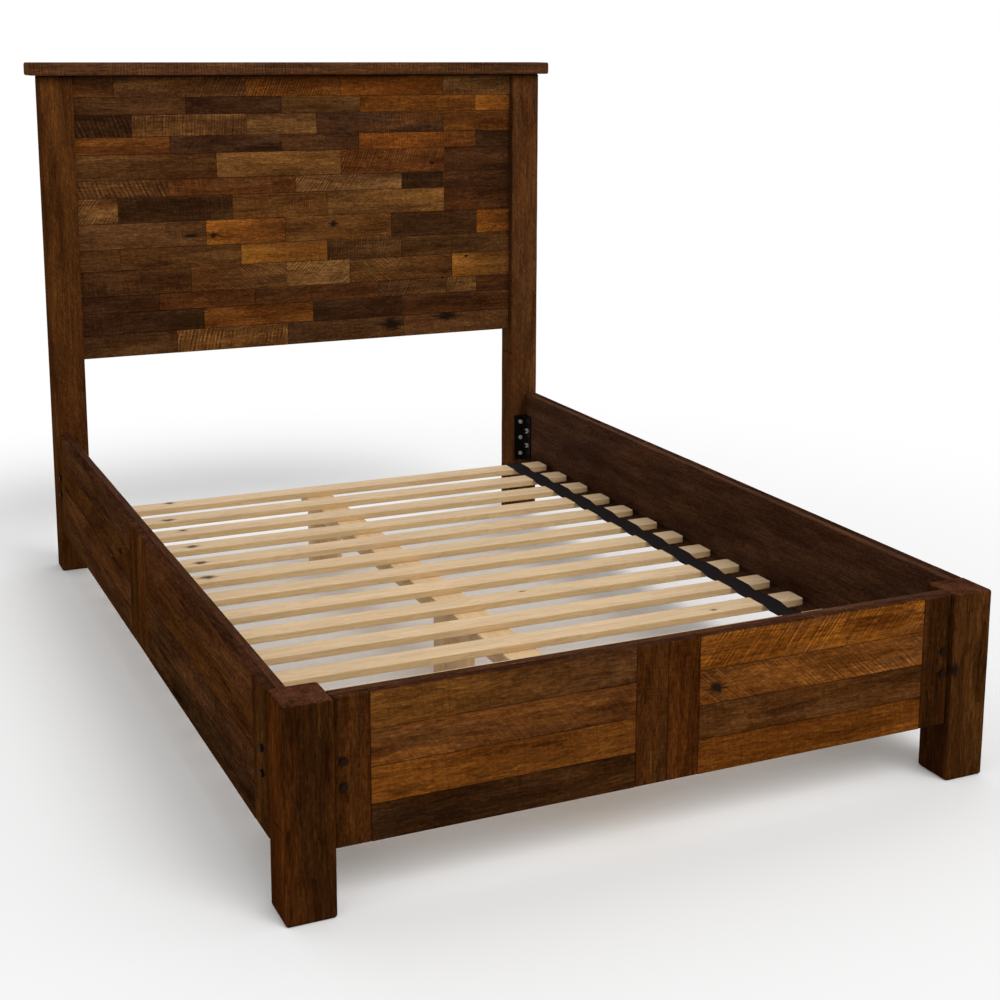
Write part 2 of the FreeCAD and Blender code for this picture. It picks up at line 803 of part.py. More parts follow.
def make_wood_screws():
    """Countersunk screws through the ledgers, the cleat and the centre beam."""
    body = make_pointed_screw("wood_screw", "screw_shank", "screw_length", "screw_point")
    head = body.newObject("PartDesign::AdditiveCone", "head")
    bind(head, "Radius1", "screw_head / 2")
    bind(head, "Radius2", "screw_shank / 2")
    bind(head, "Height", "(screw_head - screw_shank) / 2")
    doc.recompute()
    spots = []
    for way, face_x in (("-x", "-half_inner + ledger_width"), ("x", "half_inner - ledger_width")):
        for number in range(COUNTS["ledger_screws"]):
            at_y = "ledger_foot_y + ledger_screw_inset + %d * ledger_screw_step" % number
            spots.append(((face_x, at_y, "slat_bottom - ledger_width / 2"), AXES[way]))
    for at_x in CLEAT_SCREWS:
        spots.append(((at_x, "front_inner_y + cleat_thick", "cleat_bottom + cleat_height / 2"), AXES["-y"]))
    for leg_y in ("head_leg_y", "foot_leg_y"):
        spots.append((("beam_offset", leg_y + " + centre_leg_depth / 2", "slat_bottom"), AXES["-z"]))
    copies("wood_screws", body, spots)


def sink(body, at, axis, depth):
    """A clearance hole with a countersink for a wood screw."""
    drill(body, "screw_hole", depth, at, axis)
    before = body.Shape.Volume
    cone = body.newObject("PartDesign::SubtractiveCone", "countersink")
    bind(cone, "Radius1", "screw_head / 2 + hole_play")
    bind(cone, "Radius2", "screw_shank / 2 + hole_play")
    bind(cone, "Height", "(screw_head - screw_shank) / 2")
    place(cone, at, AXES[axis])
    doc.recompute()
    if body.Shape.Volume >= before:
        raise RuntimeError("countersink misses " + body.Name)


# Slat deck and what carries it

CLEAT_SCREWS = ("beam_offset - cleat_width / 2 + cleat_screw_inset",
                "beam_offset + cleat_width / 2 - cleat_screw_inset")


def make_ledger(side):
    """The strip along a side rail that the slat ends rest on."""
    left_x = "-half_inner" if side == "left" else "half_inner - ledger_width"
    inner_x, way = ("ledger_width", "-x") if side == "left" else ("0", "x")
    body = new_body("ledger")
    block(body, ("ledger_width", "ledger_length", "ledger_width"))
    inner = value("ledger_width") if side == "left" else 0.0
    ease(body, "ledger_ease", lambda middle, way: abs(way.y) > 0.99 and abs(middle.x - inner) < 1e-6)
    for number in range(COUNTS["ledger_screws"]):
        at_y = "ledger_screw_inset + %d * ledger_screw_step" % number
        sink(body, (inner_x, at_y, "ledger_width / 2"), way, "ledger_width")
    place(body, (left_x, "ledger_foot_y", "ledger_bottom"))
    return keep(body, side + "_ledger")


def make_centre_support():
    """The beam under the middle of the slats, its two legs and the cleat at the front rail."""
    beam = new_body("beam")
    block(beam, ("beam_width", "beam_head_y - beam_foot_y", "beam_thick"))
    ease(beam, "ledger_ease", along("y"))
    for leg_y in ("head_leg_y", "foot_leg_y"):
        sink(beam, ("beam_width / 2", leg_y + " + centre_leg_depth / 2 - beam_foot_y", "beam_thick"),
             "-z", "beam_thick")
    place(beam, ("beam_left_x", "beam_foot_y", "beam_bottom"))
    keep(beam, "centre_beam")
    for name, leg_y in (("head", "head_leg_y"), ("foot", "foot_leg_y")):
        leg = new_body("centre_leg")
        block(leg, ("beam_width", "centre_leg_depth", "beam_bottom"))
        ease(leg, "centre_leg_round", along("z"))
        drill(leg, "screw_hole", "screw_length - beam_thick + hole_play",
              ("beam_width / 2", "centre_leg_depth / 2", "beam_bottom"), "-z")
        place(leg, ("beam_left_x", leg_y, "0"))
        keep(leg, "centre_%s_leg" % name)
    cleat = new_body("cleat")
    block(cleat, ("cleat_width", "cleat_thick", "cleat_height"))
    for at_x in CLEAT_SCREWS:
        sink(cleat, (at_x + " - beam_offset + cleat_width / 2", "cleat_thick", "cleat_height / 2"),
             "-y", "cleat_thick")
    place(cleat, ("beam_offset - cleat_width / 2", "front_inner_y", "cleat_bottom"))
    keep(cleat, "centre_beam_cleat")


def make_slat(number):
    """A slat with rounded corners and eased edges, counted from the headboard."""
    body = new_body("slat")
    sketch = sketch_on(body, "XY_Plane")
    outline(sketch, (("0", "0"), ("slat_length", "0"), ("slat_length", "slat_width"), ("0", "slat_width")))
    pad(body, sketch, "slat_thick")
    ease(body, "slat_corner", along("z"))
    ease(body, "slat_ease", along("x"))
    place(body, ("-slat_length / 2", "first_slat_y - %d * slat_pitch" % (number - 1), "slat_bottom"))
    return keep(body, "slat_%02d" % number)


def make_strap(side):
    """A webbing strap that lies flat on every slat and sags in the gaps between them."""
    body = new_body("strap")
    bay = sketch_on(body, "YZ_Plane")
    rise = "(sag_radius - strap_sag)"
    middle = "slat_width + slat_gap / 2"
    outline(bay,
            (("0", "0"), ("slat_width", "0"), ("slat_pitch", "0"), ("slat_pitch", "strap_thick"),
             ("slat_width", "strap_thick"), ("0", "strap_thick")),
            ((1, "sag_radius", (middle, rise)), (3, "-sag_radius", (middle, rise + " + strap_thick"))))
    bay_pad = pad(body, bay, "strap_width")
    bays = body.newObject("PartDesign::LinearPattern", "bays")
    bays.Originals = [bay_pad]
    bays.Direction = (bay, ["H_Axis"])
    bind(bays, "Length", "(slat_count - 2) * slat_pitch")
    bind(bays, "Occurrences", "slat_count - 1")
    body.Tip = bays
    doc.recompute()
    block(body, ("strap_width", "slat_width", "strap_thick"), ("0", "(slat_count - 1) * slat_pitch", "0"))
    left_x = {"left": "-slat_length / 2 + strap_inset",
              "right": "slat_length / 2 - strap_inset - strap_width"}[side]
    place(body, (left_x, "last_slat_y", "slat_top + strap_lift"))
    return keep(body, side + "_slat_strap")


# Build

panel_bottom = "post_height - (%s)" % " + ".join(board for board, lengths in COURSES)

for side in ("left", "right"):
    make_post(side)
make_cap()
make_back_panel()
make_courses()
for side in ("left", "right"):
    make_leg(side)
    make_side_core(side)
    make_facing(side + "_rail_facing", "side_rail_length", "side_batten", "side_board",
                "side_bolt_inset", side)
    make_ledger(side)
make_front_core()
make_facing("front_rail_facing", "front_rail_length", "front_batten", "front_board",
            "front_bolt_inset", "front")
for corner in CORNERS:
    make_bracket(corner)
make_bolts()
make_lag_screws()
make_wood_screws()
make_centre_support()
for number in range(1, COUNTS["slat_count"] + 1):
    make_slat(number)
for side in ("left", "right"):
    make_strap(side)
doc.recompute()

# Check and write

faults = [thing.Label for thing in doc.Objects if {"Invalid", "Error"} & set(thing.State)]
faults += [piece.Label for piece in pieces if piece.Shape.isNull() or not piece.Shape.isValid()]
if faults:
    raise RuntimeError("not built: " + ", ".join(faults))
os.makedirs("parts", exist_ok=True)
for piece in pieces:
    piece.Shape.exportStep("parts/%s.step" % piece.Label)
print(len(pieces), "sub-parts,", sum(len(piece.Shape.Solids) for piece in pieces), "solids")
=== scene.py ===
"""Looks of a barnwood bed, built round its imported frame."""

import logging
import math
from dataclasses import dataclass
from enum import Enum, IntEnum

import bpy
import numpy as np
from mathutils import Matrix, Vector


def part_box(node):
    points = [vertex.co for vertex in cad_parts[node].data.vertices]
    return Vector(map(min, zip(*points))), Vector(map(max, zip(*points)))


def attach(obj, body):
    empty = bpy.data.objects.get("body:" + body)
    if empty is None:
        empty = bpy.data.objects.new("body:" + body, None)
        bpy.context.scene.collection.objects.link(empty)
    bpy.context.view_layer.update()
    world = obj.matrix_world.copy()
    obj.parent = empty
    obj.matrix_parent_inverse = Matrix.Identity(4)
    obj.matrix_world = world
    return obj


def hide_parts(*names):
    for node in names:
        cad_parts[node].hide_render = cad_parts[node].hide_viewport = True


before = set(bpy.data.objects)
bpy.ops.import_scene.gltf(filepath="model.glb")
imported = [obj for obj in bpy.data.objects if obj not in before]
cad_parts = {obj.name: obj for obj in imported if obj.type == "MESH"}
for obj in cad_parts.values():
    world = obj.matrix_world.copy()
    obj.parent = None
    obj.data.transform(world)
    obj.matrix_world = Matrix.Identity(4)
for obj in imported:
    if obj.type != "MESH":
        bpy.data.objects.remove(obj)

log = logging.getLogger("barnwood_bed")

Socket = bpy.types.NodeSocket
Finish = bpy.types.Material
Number = float | Socket
Triple = tuple[float, float, float] | Socket
Value = Number | Triple | tuple[float, float, float, float]

FRAME_BODY, DECK_BODY = "bed_frame", "slat_deck"
TURN = 6.2832
QUARTER = math.pi / 2
# Distance from a knot, in radii, on a board without one
NO_KNOT = 1000.0
# Sockets of the colour blend node
MIX_FIRST, MIX_SECOND, MIX_RESULT = 6, 7, 2


class Axis(IntEnum):
    """Axes of the frame: across the bed, from foot to head, and up."""

    X = 0
    Y = 1
    Z = 2


X, Y, Z = Axis


class Seed(IntEnum):
    """First chance numbers of the boards, so that each run draws the same wood."""

    POST = 910
    CAP = 931
    PANEL = 941
    LEG = 951
    CORE = 961
    LEDGER = 971
    BEAM = 981
    FACING = 2000
    SLAT = 3000


# Chance numbers kept free between one course or facing and the next
SEEDS_APART = 100


def linear(rgb: tuple[int, int, int]) -> tuple[float, float, float]:
    """Turn a display colour into scene light values.

    Args:
        rgb: red, green and blue from 0 to 255.

    Returns:
        The same colour as linear red, green and blue.
    """
    share = np.asarray(rgb, float) / 255.0
    low, high = share / 12.92, ((share + 0.055) / 1.055) ** 2.4
    return tuple(float(x) for x in np.where(share <= 0.04045, low, high))


class Tone(Enum):
    """Colours of the boards under oil, as display red, green and blue. A few tones paint the cap's shadow,
    a sheen on tops and shade on the slats' sides.
    """

    CHAR = (46, 28, 14)
    CHOCOLATE = (54, 31, 17)
    UMBER = (45, 23, 7)
    EMBER = (64, 32, 9)
    DARK_GREY = (60, 37, 22)
    DARK_BROWN = (62, 37, 19)
    DARK_RED = (67, 38, 18)
    DARK_OLIVE = (64, 40, 20)
    RUSSET = (58, 33, 12)
    WALNUT = (66, 37, 14)
    BROWN = (73, 44, 22)
    RED_BROWN = (80, 44, 19)
    TAN_BROWN = (79, 49, 26)
    OLIVE = (80, 51, 25)
    GREY_BROWN = (82, 52, 28)
    AMBER_BROWN = (86, 48, 18)
    AMBER = (94, 53, 19)
    HONEY = (105, 58, 16)
    ORANGE = (107, 58, 20)
    OCHRE = (110, 67, 23)
    GOLD = (132, 77, 26)
    OLIVE_TAN = (91, 60, 31)
    CAP_TAN = (78, 49, 29)
    TAN = (100, 64, 30)
    GREY_TAN = (99, 68, 40)
    PALE_TAN = (115, 80, 44)
    # Painted shadow of the cap: near black, laid along the post tops and the top course under it
    GRIME = (22, 12, 5)
    STAIN = (65, 41, 27)
    # Painted sheen: lighter pinkish tones for the leg tops and the rails' top edges, where light glances
    # off
    WORN = (74, 43, 28)
    WORN_RAIL = (69, 41, 25)
    PINE = (212, 183, 146)
    PINE_WARM = (209, 177, 136)
    # Tan of the pine: on the slats' narrow faces painted shade, partly their sawn edges' own tan; also the
    # bearers' second tone
    PINE_EDGE = (196, 164, 118)

    @property
    def light(self) -> np.ndarray:
        """The tone as linear red, green and blue with an alpha of one."""
        return np.array((*linear(self.value), 1.0))


class Marks(Enum):
    """Saw marks on a board: strength, lean (run over rise) and spacing in metres."""

    SMOOTH = (0.00, 0.1, 0.0050)
    PLANED = (0.10, 0.1, 0.0065)
    SCRATCHED = (0.22, 0.9, 0.0090)
    FINE = (0.40, 0.12, 0.0062)
    UPRIGHT = (0.55, -0.10, 0.0080)
    STEEP = (0.65, -0.38, 0.0080)
    RISING = (0.75, -0.85, 0.0090)
    FALLING = (0.60, 1.20, 0.0100)
    BOLD = (0.75, 0.38, 0.0125)
    KERF = (1.00, -0.18, 0.0105)


# Short names for the tables
T, M = Tone, Marks

# Reclaimed strips of the headboard, course by course from the top: length in millimetres,
# tone and saw marks. The last strip of a course runs to the right post.
MOSAIC = (
    ((112, T.BROWN, M.PLANED), (367, T.TAN_BROWN, M.STEEP), (279, T.AMBER, M.STEEP),
     (320, T.ORANGE, M.PLANED), (216, T.OLIVE_TAN, M.FINE)),
    ((308, T.DARK_BROWN, M.PLANED), (274, T.CHOCOLATE, M.PLANED), (235, T.OLIVE, M.PLANED),
     (363, T.AMBER, M.PLANED), (114, T.GOLD, M.PLANED)),
    ((157, T.CHAR, M.BOLD), (322, T.GREY_BROWN, M.UPRIGHT), (207, T.OLIVE_TAN, M.PLANED),
     (392, T.DARK_GREY, M.FINE), (216, T.AMBER, M.FINE)),
    ((261, T.RED_BROWN, M.PLANED), (319, T.DARK_GREY, M.PLANED), (233, T.TAN_BROWN, M.PLANED),
     (370, T.ORANGE, M.FINE), (110, T.CHAR, M.PLANED)),
    ((390, T.DARK_RED, M.PLANED), (368, T.TAN, M.PLANED), (322, T.RED_BROWN, M.STEEP),
     (214, T.CHOCOLATE, M.PLANED)),
    ((250, T.BROWN, M.BOLD), (369, T.RED_BROWN, M.FINE), (326, T.TAN, M.RISING),
     (129, T.CHAR, M.UPRIGHT), (220, T.DARK_BROWN, M.PLANED)),
    ((112, T.OLIVE_TAN, M.RISING), (321, T.CHAR, M.FINE), (279, T.OLIVE, M.FINE),
     (368, T.OLIVE, M.PLANED), (214, T.CHOCOLATE, M.PLANED)),
    ((355, T.GREY_BROWN, M.PLANED), (232, T.GOLD, M.PLANED), (322, T.OLIVE, M.PLANED),
     (276, T.DARK_OLIVE, M.PLANED), (109, T.GOLD, M.RISING)),
    ((112, T.BROWN, M.PLANED), (342, T.OLIVE, M.PLANED), (258, T.OCHRE, M.PLANED),
     (228, T.DARK_OLIVE, M.UPRIGHT), (354, T.DARK_OLIVE, M.PLANED)),
    ((309, T.DARK_BROWN, M.FINE), (278, T.OLIVE_TAN, M.FALLING), (193, T.PALE_TAN, M.RISING),
     (325, T.OLIVE, M.FALLING), (188, T.OCHRE, M.PLANED)),
    ((216, T.CHOCOLATE, M.PLANED), (278, T.RED_BROWN, M.PLANED), (372, T.DARK_RED, M.PLANED),
     (220, T.OLIVE, M.STEEP), (99, T.OLIVE_TAN, M.STEEP), (109, T.CHOCOLATE, M.PLANED)),
    ((112, T.CHOCOLATE, M.FINE), (230, T.CHAR, M.PLANED), (324, T.AMBER_BROWN, M.PLANED),
     (276, T.CHAR, M.PLANED), (352, T.DARK_BROWN, M.PLANED)),
    ((264, T.DARK_OLIVE, M.PLANED), (323, T.TAN, M.KERF), (360, T.OLIVE, M.PLANED),
     (347, T.TAN_BROWN, M.PLANED)),
)

# Strips of the mosaic that change tone along their length: course and strip from zero, then
# the other tone and its share at the left and right end.
FADES = {
    (0, 3): (T.AMBER, 0.0, 0.5),
    (1, 0): (T.TAN_BROWN, 0.0, 0.6),
    (1, 1): (T.CHAR, 0.0, 0.2),
    (1, 2): (T.DARK_OLIVE, 0.1, 0.0),
    (1, 4): (T.AMBER, 0.1, 0.85),
    (2, 0): (T.CHOCOLATE, 0.0, 0.3),
    (2, 1): (T.TAN, 0.5, 0.0),
    (3, 0): (T.AMBER, 0.6, 0.2),
    (3, 1): (T.CHOCOLATE, 0.0, 0.0),
    (3, 2): (T.CHOCOLATE, 0.1, 0.9),
    (3, 3): (T.RED_BROWN, 0.0, 0.8),
    (3, 4): (T.DARK_GREY, 0.6, 0.2),
    (4, 0): (T.OLIVE, 0.8, 0.0),
    (4, 1): (T.OLIVE_TAN, 0.4, 0.0),
    (4, 3): (T.DARK_RED, 0.4, 0.0),
    (5, 2): (T.GREY_TAN, 0.4, 0.7),
    (5, 3): (T.DARK_GREY, 0.0, 0.3),
    (5, 4): (T.CHOCOLATE, 0.0, 0.6),
    (6, 1): (T.DARK_BROWN, 0.2, 0.5),
    (6, 2): (T.AMBER_BROWN, 0.4, 0.4),
    (6, 3): (T.TAN, 0.0, 0.8),
    (7, 1): (T.RED_BROWN, 0.1, 0.9),
    (7, 2): (T.AMBER_BROWN, 0.4, 0.4),
    (7, 3): (T.CHOCOLATE, 0.0, 0.4),
    (7, 4): (T.AMBER_BROWN, 0.3, 0.85),
    (8, 1): (T.RED_BROWN, 0.3, 0.0),
    (8, 3): (T.OLIVE, 0.0, 0.0),
    (8, 4): (T.OLIVE, 0.6, 0.3),
    (9, 0): (T.RUSSET, 0.0, 0.5),
    (9, 1): (T.RED_BROWN, 0.8, 0.1),
    (9, 2): (T.TAN, 0.6, 0.0),
    (9, 4): (T.OLIVE, 0.2, 0.7),
    (10, 0): (T.RUSSET, 0.0, 0.2),
    (10, 1): (T.DARK_RED, 0.4, 0.4),
    (10, 3): (T.DARK_GREY, 0.9, 0.0),
    (11, 1): (T.CHOCOLATE, 0.6, 0.0),
    (11, 2): (T.AMBER, 0.2, 0.0),
    (11, 3): (T.CHOCOLATE, 0.0, 0.6),
    (12, 0): (T.BROWN, 0.0, 0.4),
    (12, 2): (T.DARK_GREY, 0.8, 0.4),
}

# Knots of the mosaic: course and strip from zero, then place along and across the strip
# as shares of its length and width, radius in metres and stretch along the grain.
KNOTS = {
    (4, 2): (0.88, 0.35, 0.006, 1.6),
    (7, 0): (0.88, 0.40, 0.007, 3.4),
    (7, 1): (0.09, 0.40, 0.010, 1.2),
    (7, 2): (0.45, 0.66, 0.013, 0.9),
    (9, 4): (0.24, 0.88, 0.005, 1.3),
    (12, 2): (0.90, 0.60, 0.026, 1.5),
    (12, 3): (0.40, 0.84, 0.020, 1.9),
}

# Facing of the rails: tones of the four battens, then of the boards of both bays from the top
FRONT_FACING = (
    (T.UMBER, T.RUSSET, T.EMBER, T.UMBER),
    ((T.OCHRE, M.PLANED), (T.AMBER_BROWN, M.SCRATCHED), (T.HONEY, M.PLANED), (T.CHAR, M.PLANED)),
    ((T.HONEY, M.RISING), (T.AMBER, M.FALLING), (T.WALNUT, M.PLANED), (T.HONEY, M.PLANED)),
)
# The left rail's tones are darker than the front's: partly the boards' own colour, partly painted shade for
# the shaded left side
LEFT_FACING = (
    (T.RUSSET, T.WALNUT, T.RUSSET, T.RUSSET),
    ((T.DARK_RED, M.PLANED), (T.WALNUT, M.PLANED), (T.DARK_BROWN, M.FINE), (T.CHAR, M.PLANED)),
    ((T.DARK_BROWN, M.FINE), (T.RUSSET, M.PLANED), (T.DARK_RED, M.PLANED), (T.DARK_BROWN, M.PLANED)),
)
RIGHT_FACING = (
    (T.WALNUT, T.DARK_RED, T.BROWN, T.EMBER),
    ((T.AMBER_BROWN, M.PLANED), (T.DARK_OLIVE, M.FINE), (T.TAN_BROWN, M.RISING), (T.DARK_BROWN, M.PLANED)),
    ((T.OLIVE, M.STEEP), (T.AMBER, M.PLANED), (T.CHOCOLATE, M.FINE), (T.BROWN, M.FALLING)),
)

# Facing boards that change tone along their length: rail, bay and row from zero, then as for
# the mosaic
FACING_FADES = {
    ("front", 0, 0): (T.CHOCOLATE, 0.4, 0.9),
    ("front", 0, 1): (T.BROWN, 0.0, 0.3),
    ("front", 0, 2): (T.WALNUT, 0.3, 0.6),
    ("front", 0, 3): (T.UMBER, 0.2, 0.8),
    ("front", 1, 3): (T.EMBER, 0.4, 0.5),
}

# Knots of the facings: rail, bay and row from zero, then as for the mosaic
FACING_KNOTS = {
    ("front", 1, 1): (0.07, 0.42, 0.015, 1.4),
    ("left", 1, 1): (0.12, 0.55, 0.011, 1.3),
    ("right", 0, 2): (0.55, 0.40, 0.011, 1.3),
}

# Knots of the slats from the headboard on, as for the mosaic
SLAT_KNOTS = {
    1: (0.16, 0.80, 0.012, 1.3),
    2: (0.13, 0.30, 0.016, 1.2),
    3: (0.14, 0.70, 0.009, 1.4),
    4: (0.13, 0.45, 0.014, 1.3),
    5: (0.12, 0.35, 0.015, 1.2),
    6: (0.11, 0.62, 0.017, 1.3),
    9: (0.58, 0.70, 0.006, 1.5),
    11: (0.83, 0.30, 0.007, 1.4),
}

# Second tones for boards that have none of their own
COMPANIONS = (T.BROWN, T.OLIVE, T.AMBER_BROWN, T.CHOCOLATE, T.TAN_BROWN, T.RED_BROWN)


class Grain(Enum):
    """Noises of the wood: cells to the metre along and across the grain, octaves, roughness."""

    SWAY = (7.0, 9.0, 2.0, 0.5)
    CLOUDS = (4.2, 20.0, 3.0, 0.55)
    COARSE = (4.0, 52.0, 3.0, 0.6)
    STREAK = (9.0, 240.0, 4.0, 0.6)
    FIBRE = (40.0, 800.0, 2.0, 0.6)
    FLECK = (110.0, 190.0, 3.0, 0.65)
    DASH = (55.0, 330.0, 2.0, 0.6)
    SCRATCH = (230.0, 16.0, 2.0, 0.6)
    PATCH = (5.0, 22.0, 3.0, 0.6)
    STAIN = (4.0, 24.0, 4.0, 0.65)
    SHARE = (3.0, 17.0, 3.0, 0.6)
    RAGGED = (70.0, 110.0, 3.0, 0.7)


class Graph:
    """A node tree, with short calls for the nodes used here."""

    def __init__(self, owner: Finish | bpy.types.World) -> None:
        """Start an empty tree.

        Args:
            owner: the material or world that shows it.
        """
        owner.use_nodes = True
        self.tree = owner.node_tree
        self.tree.nodes.clear()

    def put(self, socket: Socket, value: Value) -> None:
        """Link an input socket to another node's output, or set its value.

        Args:
            socket: the input socket.
            value: the output or the plain value.
        """
        if isinstance(value, Socket):
            self.tree.links.new(value, socket)
        else:
            socket.default_value = value

    def make(self, kind: str, inputs: dict[int | str, Value] | None = None,
             **settings: str) -> bpy.types.Node:
        """Add a node.

        Args:
            kind: the node's kind.
            inputs: outputs or plain values for its inputs, by name or number.
            settings: the node's own settings.

        Returns:
            The new node.
        """
        node = self.tree.nodes.new("ShaderNode" + kind)
        for name, setting in settings.items():
            setattr(node, name, setting)
        for name, value in (inputs or {}).items():
            self.put(node.inputs[name], value)
        return node

    def math(self, work: str, *numbers: Number) -> Socket:
        """Arithmetic on one to three numbers."""
        return self.make("Math", dict(enumerate(numbers)), operation=work).outputs[0]

    def times(self, first: Number, second: Number) -> Socket:
        """The product of two numbers."""
        return self.math("MULTIPLY", first, second)

    def add(self, total: Number, value: Number, weight: Number = 1.0) -> Socket:
        """A total plus a value times its weight."""
        return self.math("MULTIPLY_ADD", value, weight, total)

    def more(self, first: Number, second: Number) -> Socket:
        """The larger of two numbers."""
        return self.math("MAXIMUM", first, second)

    def vector(self, work: str, *vectors: Triple) -> Socket:
        """Arithmetic on one or two vectors."""
        outputs = self.make("VectorMath", dict(enumerate(vectors)), operation=work).outputs
        return outputs["Value" if work == "LENGTH" else "Vector"]

    def parts(self, vector: Socket) -> list[Socket]:
        """The x, y and z of a vector."""
        return list(self.make("SeparateXYZ", {0: vector}).outputs)

    def join(self, *numbers: Number) -> Socket:
        """A vector of x, y and z."""
        return self.make("CombineXYZ", dict(enumerate(numbers))).outputs[0]

    def attribute(self, name: str, output: str = "Vector") -> Socket:
        """A value kept on the mesh, read as Vector, Color or Fac."""
        return self.make("Attribute", attribute_name=name).outputs[output]

    def noise(self, place: Socket, cells: Triple, octaves: float, rough: float = 0.5) -> Socket:
        """Cloudy noise from 0 to 1.

        Args:
            place: where it is read.
            cells: cells to the metre along each axis.
            octaves: how many finer noises are laid over it.
            rough: weight of the finer ones.

        Returns:
            The noise's output.
        """
        spread = self.vector("MULTIPLY", place, cells)
        inputs = {"Vector": spread, "Scale": 1.0, "Detail": octaves, "Roughness": rough}
        return self.make("TexNoise", inputs).outputs[0]

    def grain(self, place: Socket, kind: Grain) -> Socket:
        """One of the wood's noises at a place."""
        along, across, octaves, rough = kind.value
        return self.noise(place, (along, across, across), octaves, rough)

    def ease(self, value: Number, low: float, high: float, start: float = 0.0, stop: float = 1.0) -> Socket:
        """A smooth step: start where the value is below low, stop where it is above high."""
        inputs = {"Value": value, "From Min": low, "From Max": high, "To Min": start, "To Max": stop}
        return self.make("MapRange", inputs, interpolation_type="SMOOTHSTEP").outputs[0]

    def swing(self, value: Number, amount: float) -> Socket:
        """One plus the amount times a noise's distance from a half."""
        return self.add(1.0 - amount / 2, value, amount)

    def stops(self, *weighted: tuple[Socket, float]) -> Socket:
        """The sum of noises about their middle.

        Args:
            weighted: pairs of a noise from 0 to 1 and its weight.

        Returns:
            The sum of each noise less a half, times its weight.
        """
        total = -sum(weight for _, weight in weighted) / 2
        for noise, weight in weighted:
            total = self.add(total, noise, weight)
        return total

    def mix(self, share: Socket, first: Socket, second: Triple) -> Socket:
        """A blend of two colours: the first at share 0, the second at share 1."""
        colour = second if isinstance(second, Socket) else (*second, 1.0)
        return self.make("Mix", {"Factor": share, MIX_FIRST: first, MIX_SECOND: colour},
                         data_type="RGBA").outputs[MIX_RESULT]

    def scale(self, colour: Triple, factor: Socket) -> Socket:
        """A colour made lighter or darker by a factor."""
        return self.make("VectorMath", {0: colour, "Scale": factor}, operation="SCALE").outputs[0]

    def choose(self, share: Socket, first: Socket, second: Socket) -> Socket:
        """A blend of two shaders: the first at share 0, the second at share 1."""
        return self.make("MixShader", {0: share, 1: first, 2: second}).outputs[0]

    def shown(self) -> Socket:
        """One for rays from the camera, by gloss and through glass, and zero for the rest.

        Returns:
            The larger of the three rays' outputs.
        """
        rays = self.make("LightPath").outputs
        seen = self.more(rays["Is Camera Ray"], rays["Is Glossy Ray"])
        return self.more(seen, rays["Is Transmission Ray"])


class Surface(Graph):
    """A material's node tree with its shader."""

    def __init__(self, name: str) -> None:
        """Start a material.

        Args:
            name: the material's name.
        """
        self.material = bpy.data.materials.new(name)
        super().__init__(self.material)
        self.shader = self.make("BsdfPrincipled")
        self.end = self.make("OutputMaterial", {"Surface": self.shader.outputs[0]}).inputs["Surface"]

    def finish(self, colour: Value, rough: Number, gloss: float) -> None:
        """Set the shader's base colour, roughness and specular level."""
        for name, value in (("Base Color", colour), ("Roughness", rough), ("Specular IOR Level", gloss)):
            self.put(self.shader.inputs[name], value)

    def bump(self, height: Socket, distance: float, strength: float) -> None:
        """Give the shader a relief, so many metres deep, of which a share shows."""
        relief = self.make("Bump", {"Height": height, "Distance": distance, "Strength": strength})
        self.put(self.shader.inputs["Normal"], relief.outputs[0])

    def place(self) -> Socket:
        """The point's place in the object."""
        return self.make("TexCoord").outputs["Object"]


@dataclass(frozen=True)
class Spot:
    """Outputs that tell where a point lies in its board."""

    along: Socket
    across: Socket
    deep: Socket
    bent: Socket
    sway: Socket
    seed: Socket
    own: Socket
    place: Socket
    knot: Socket
    reach: Socket


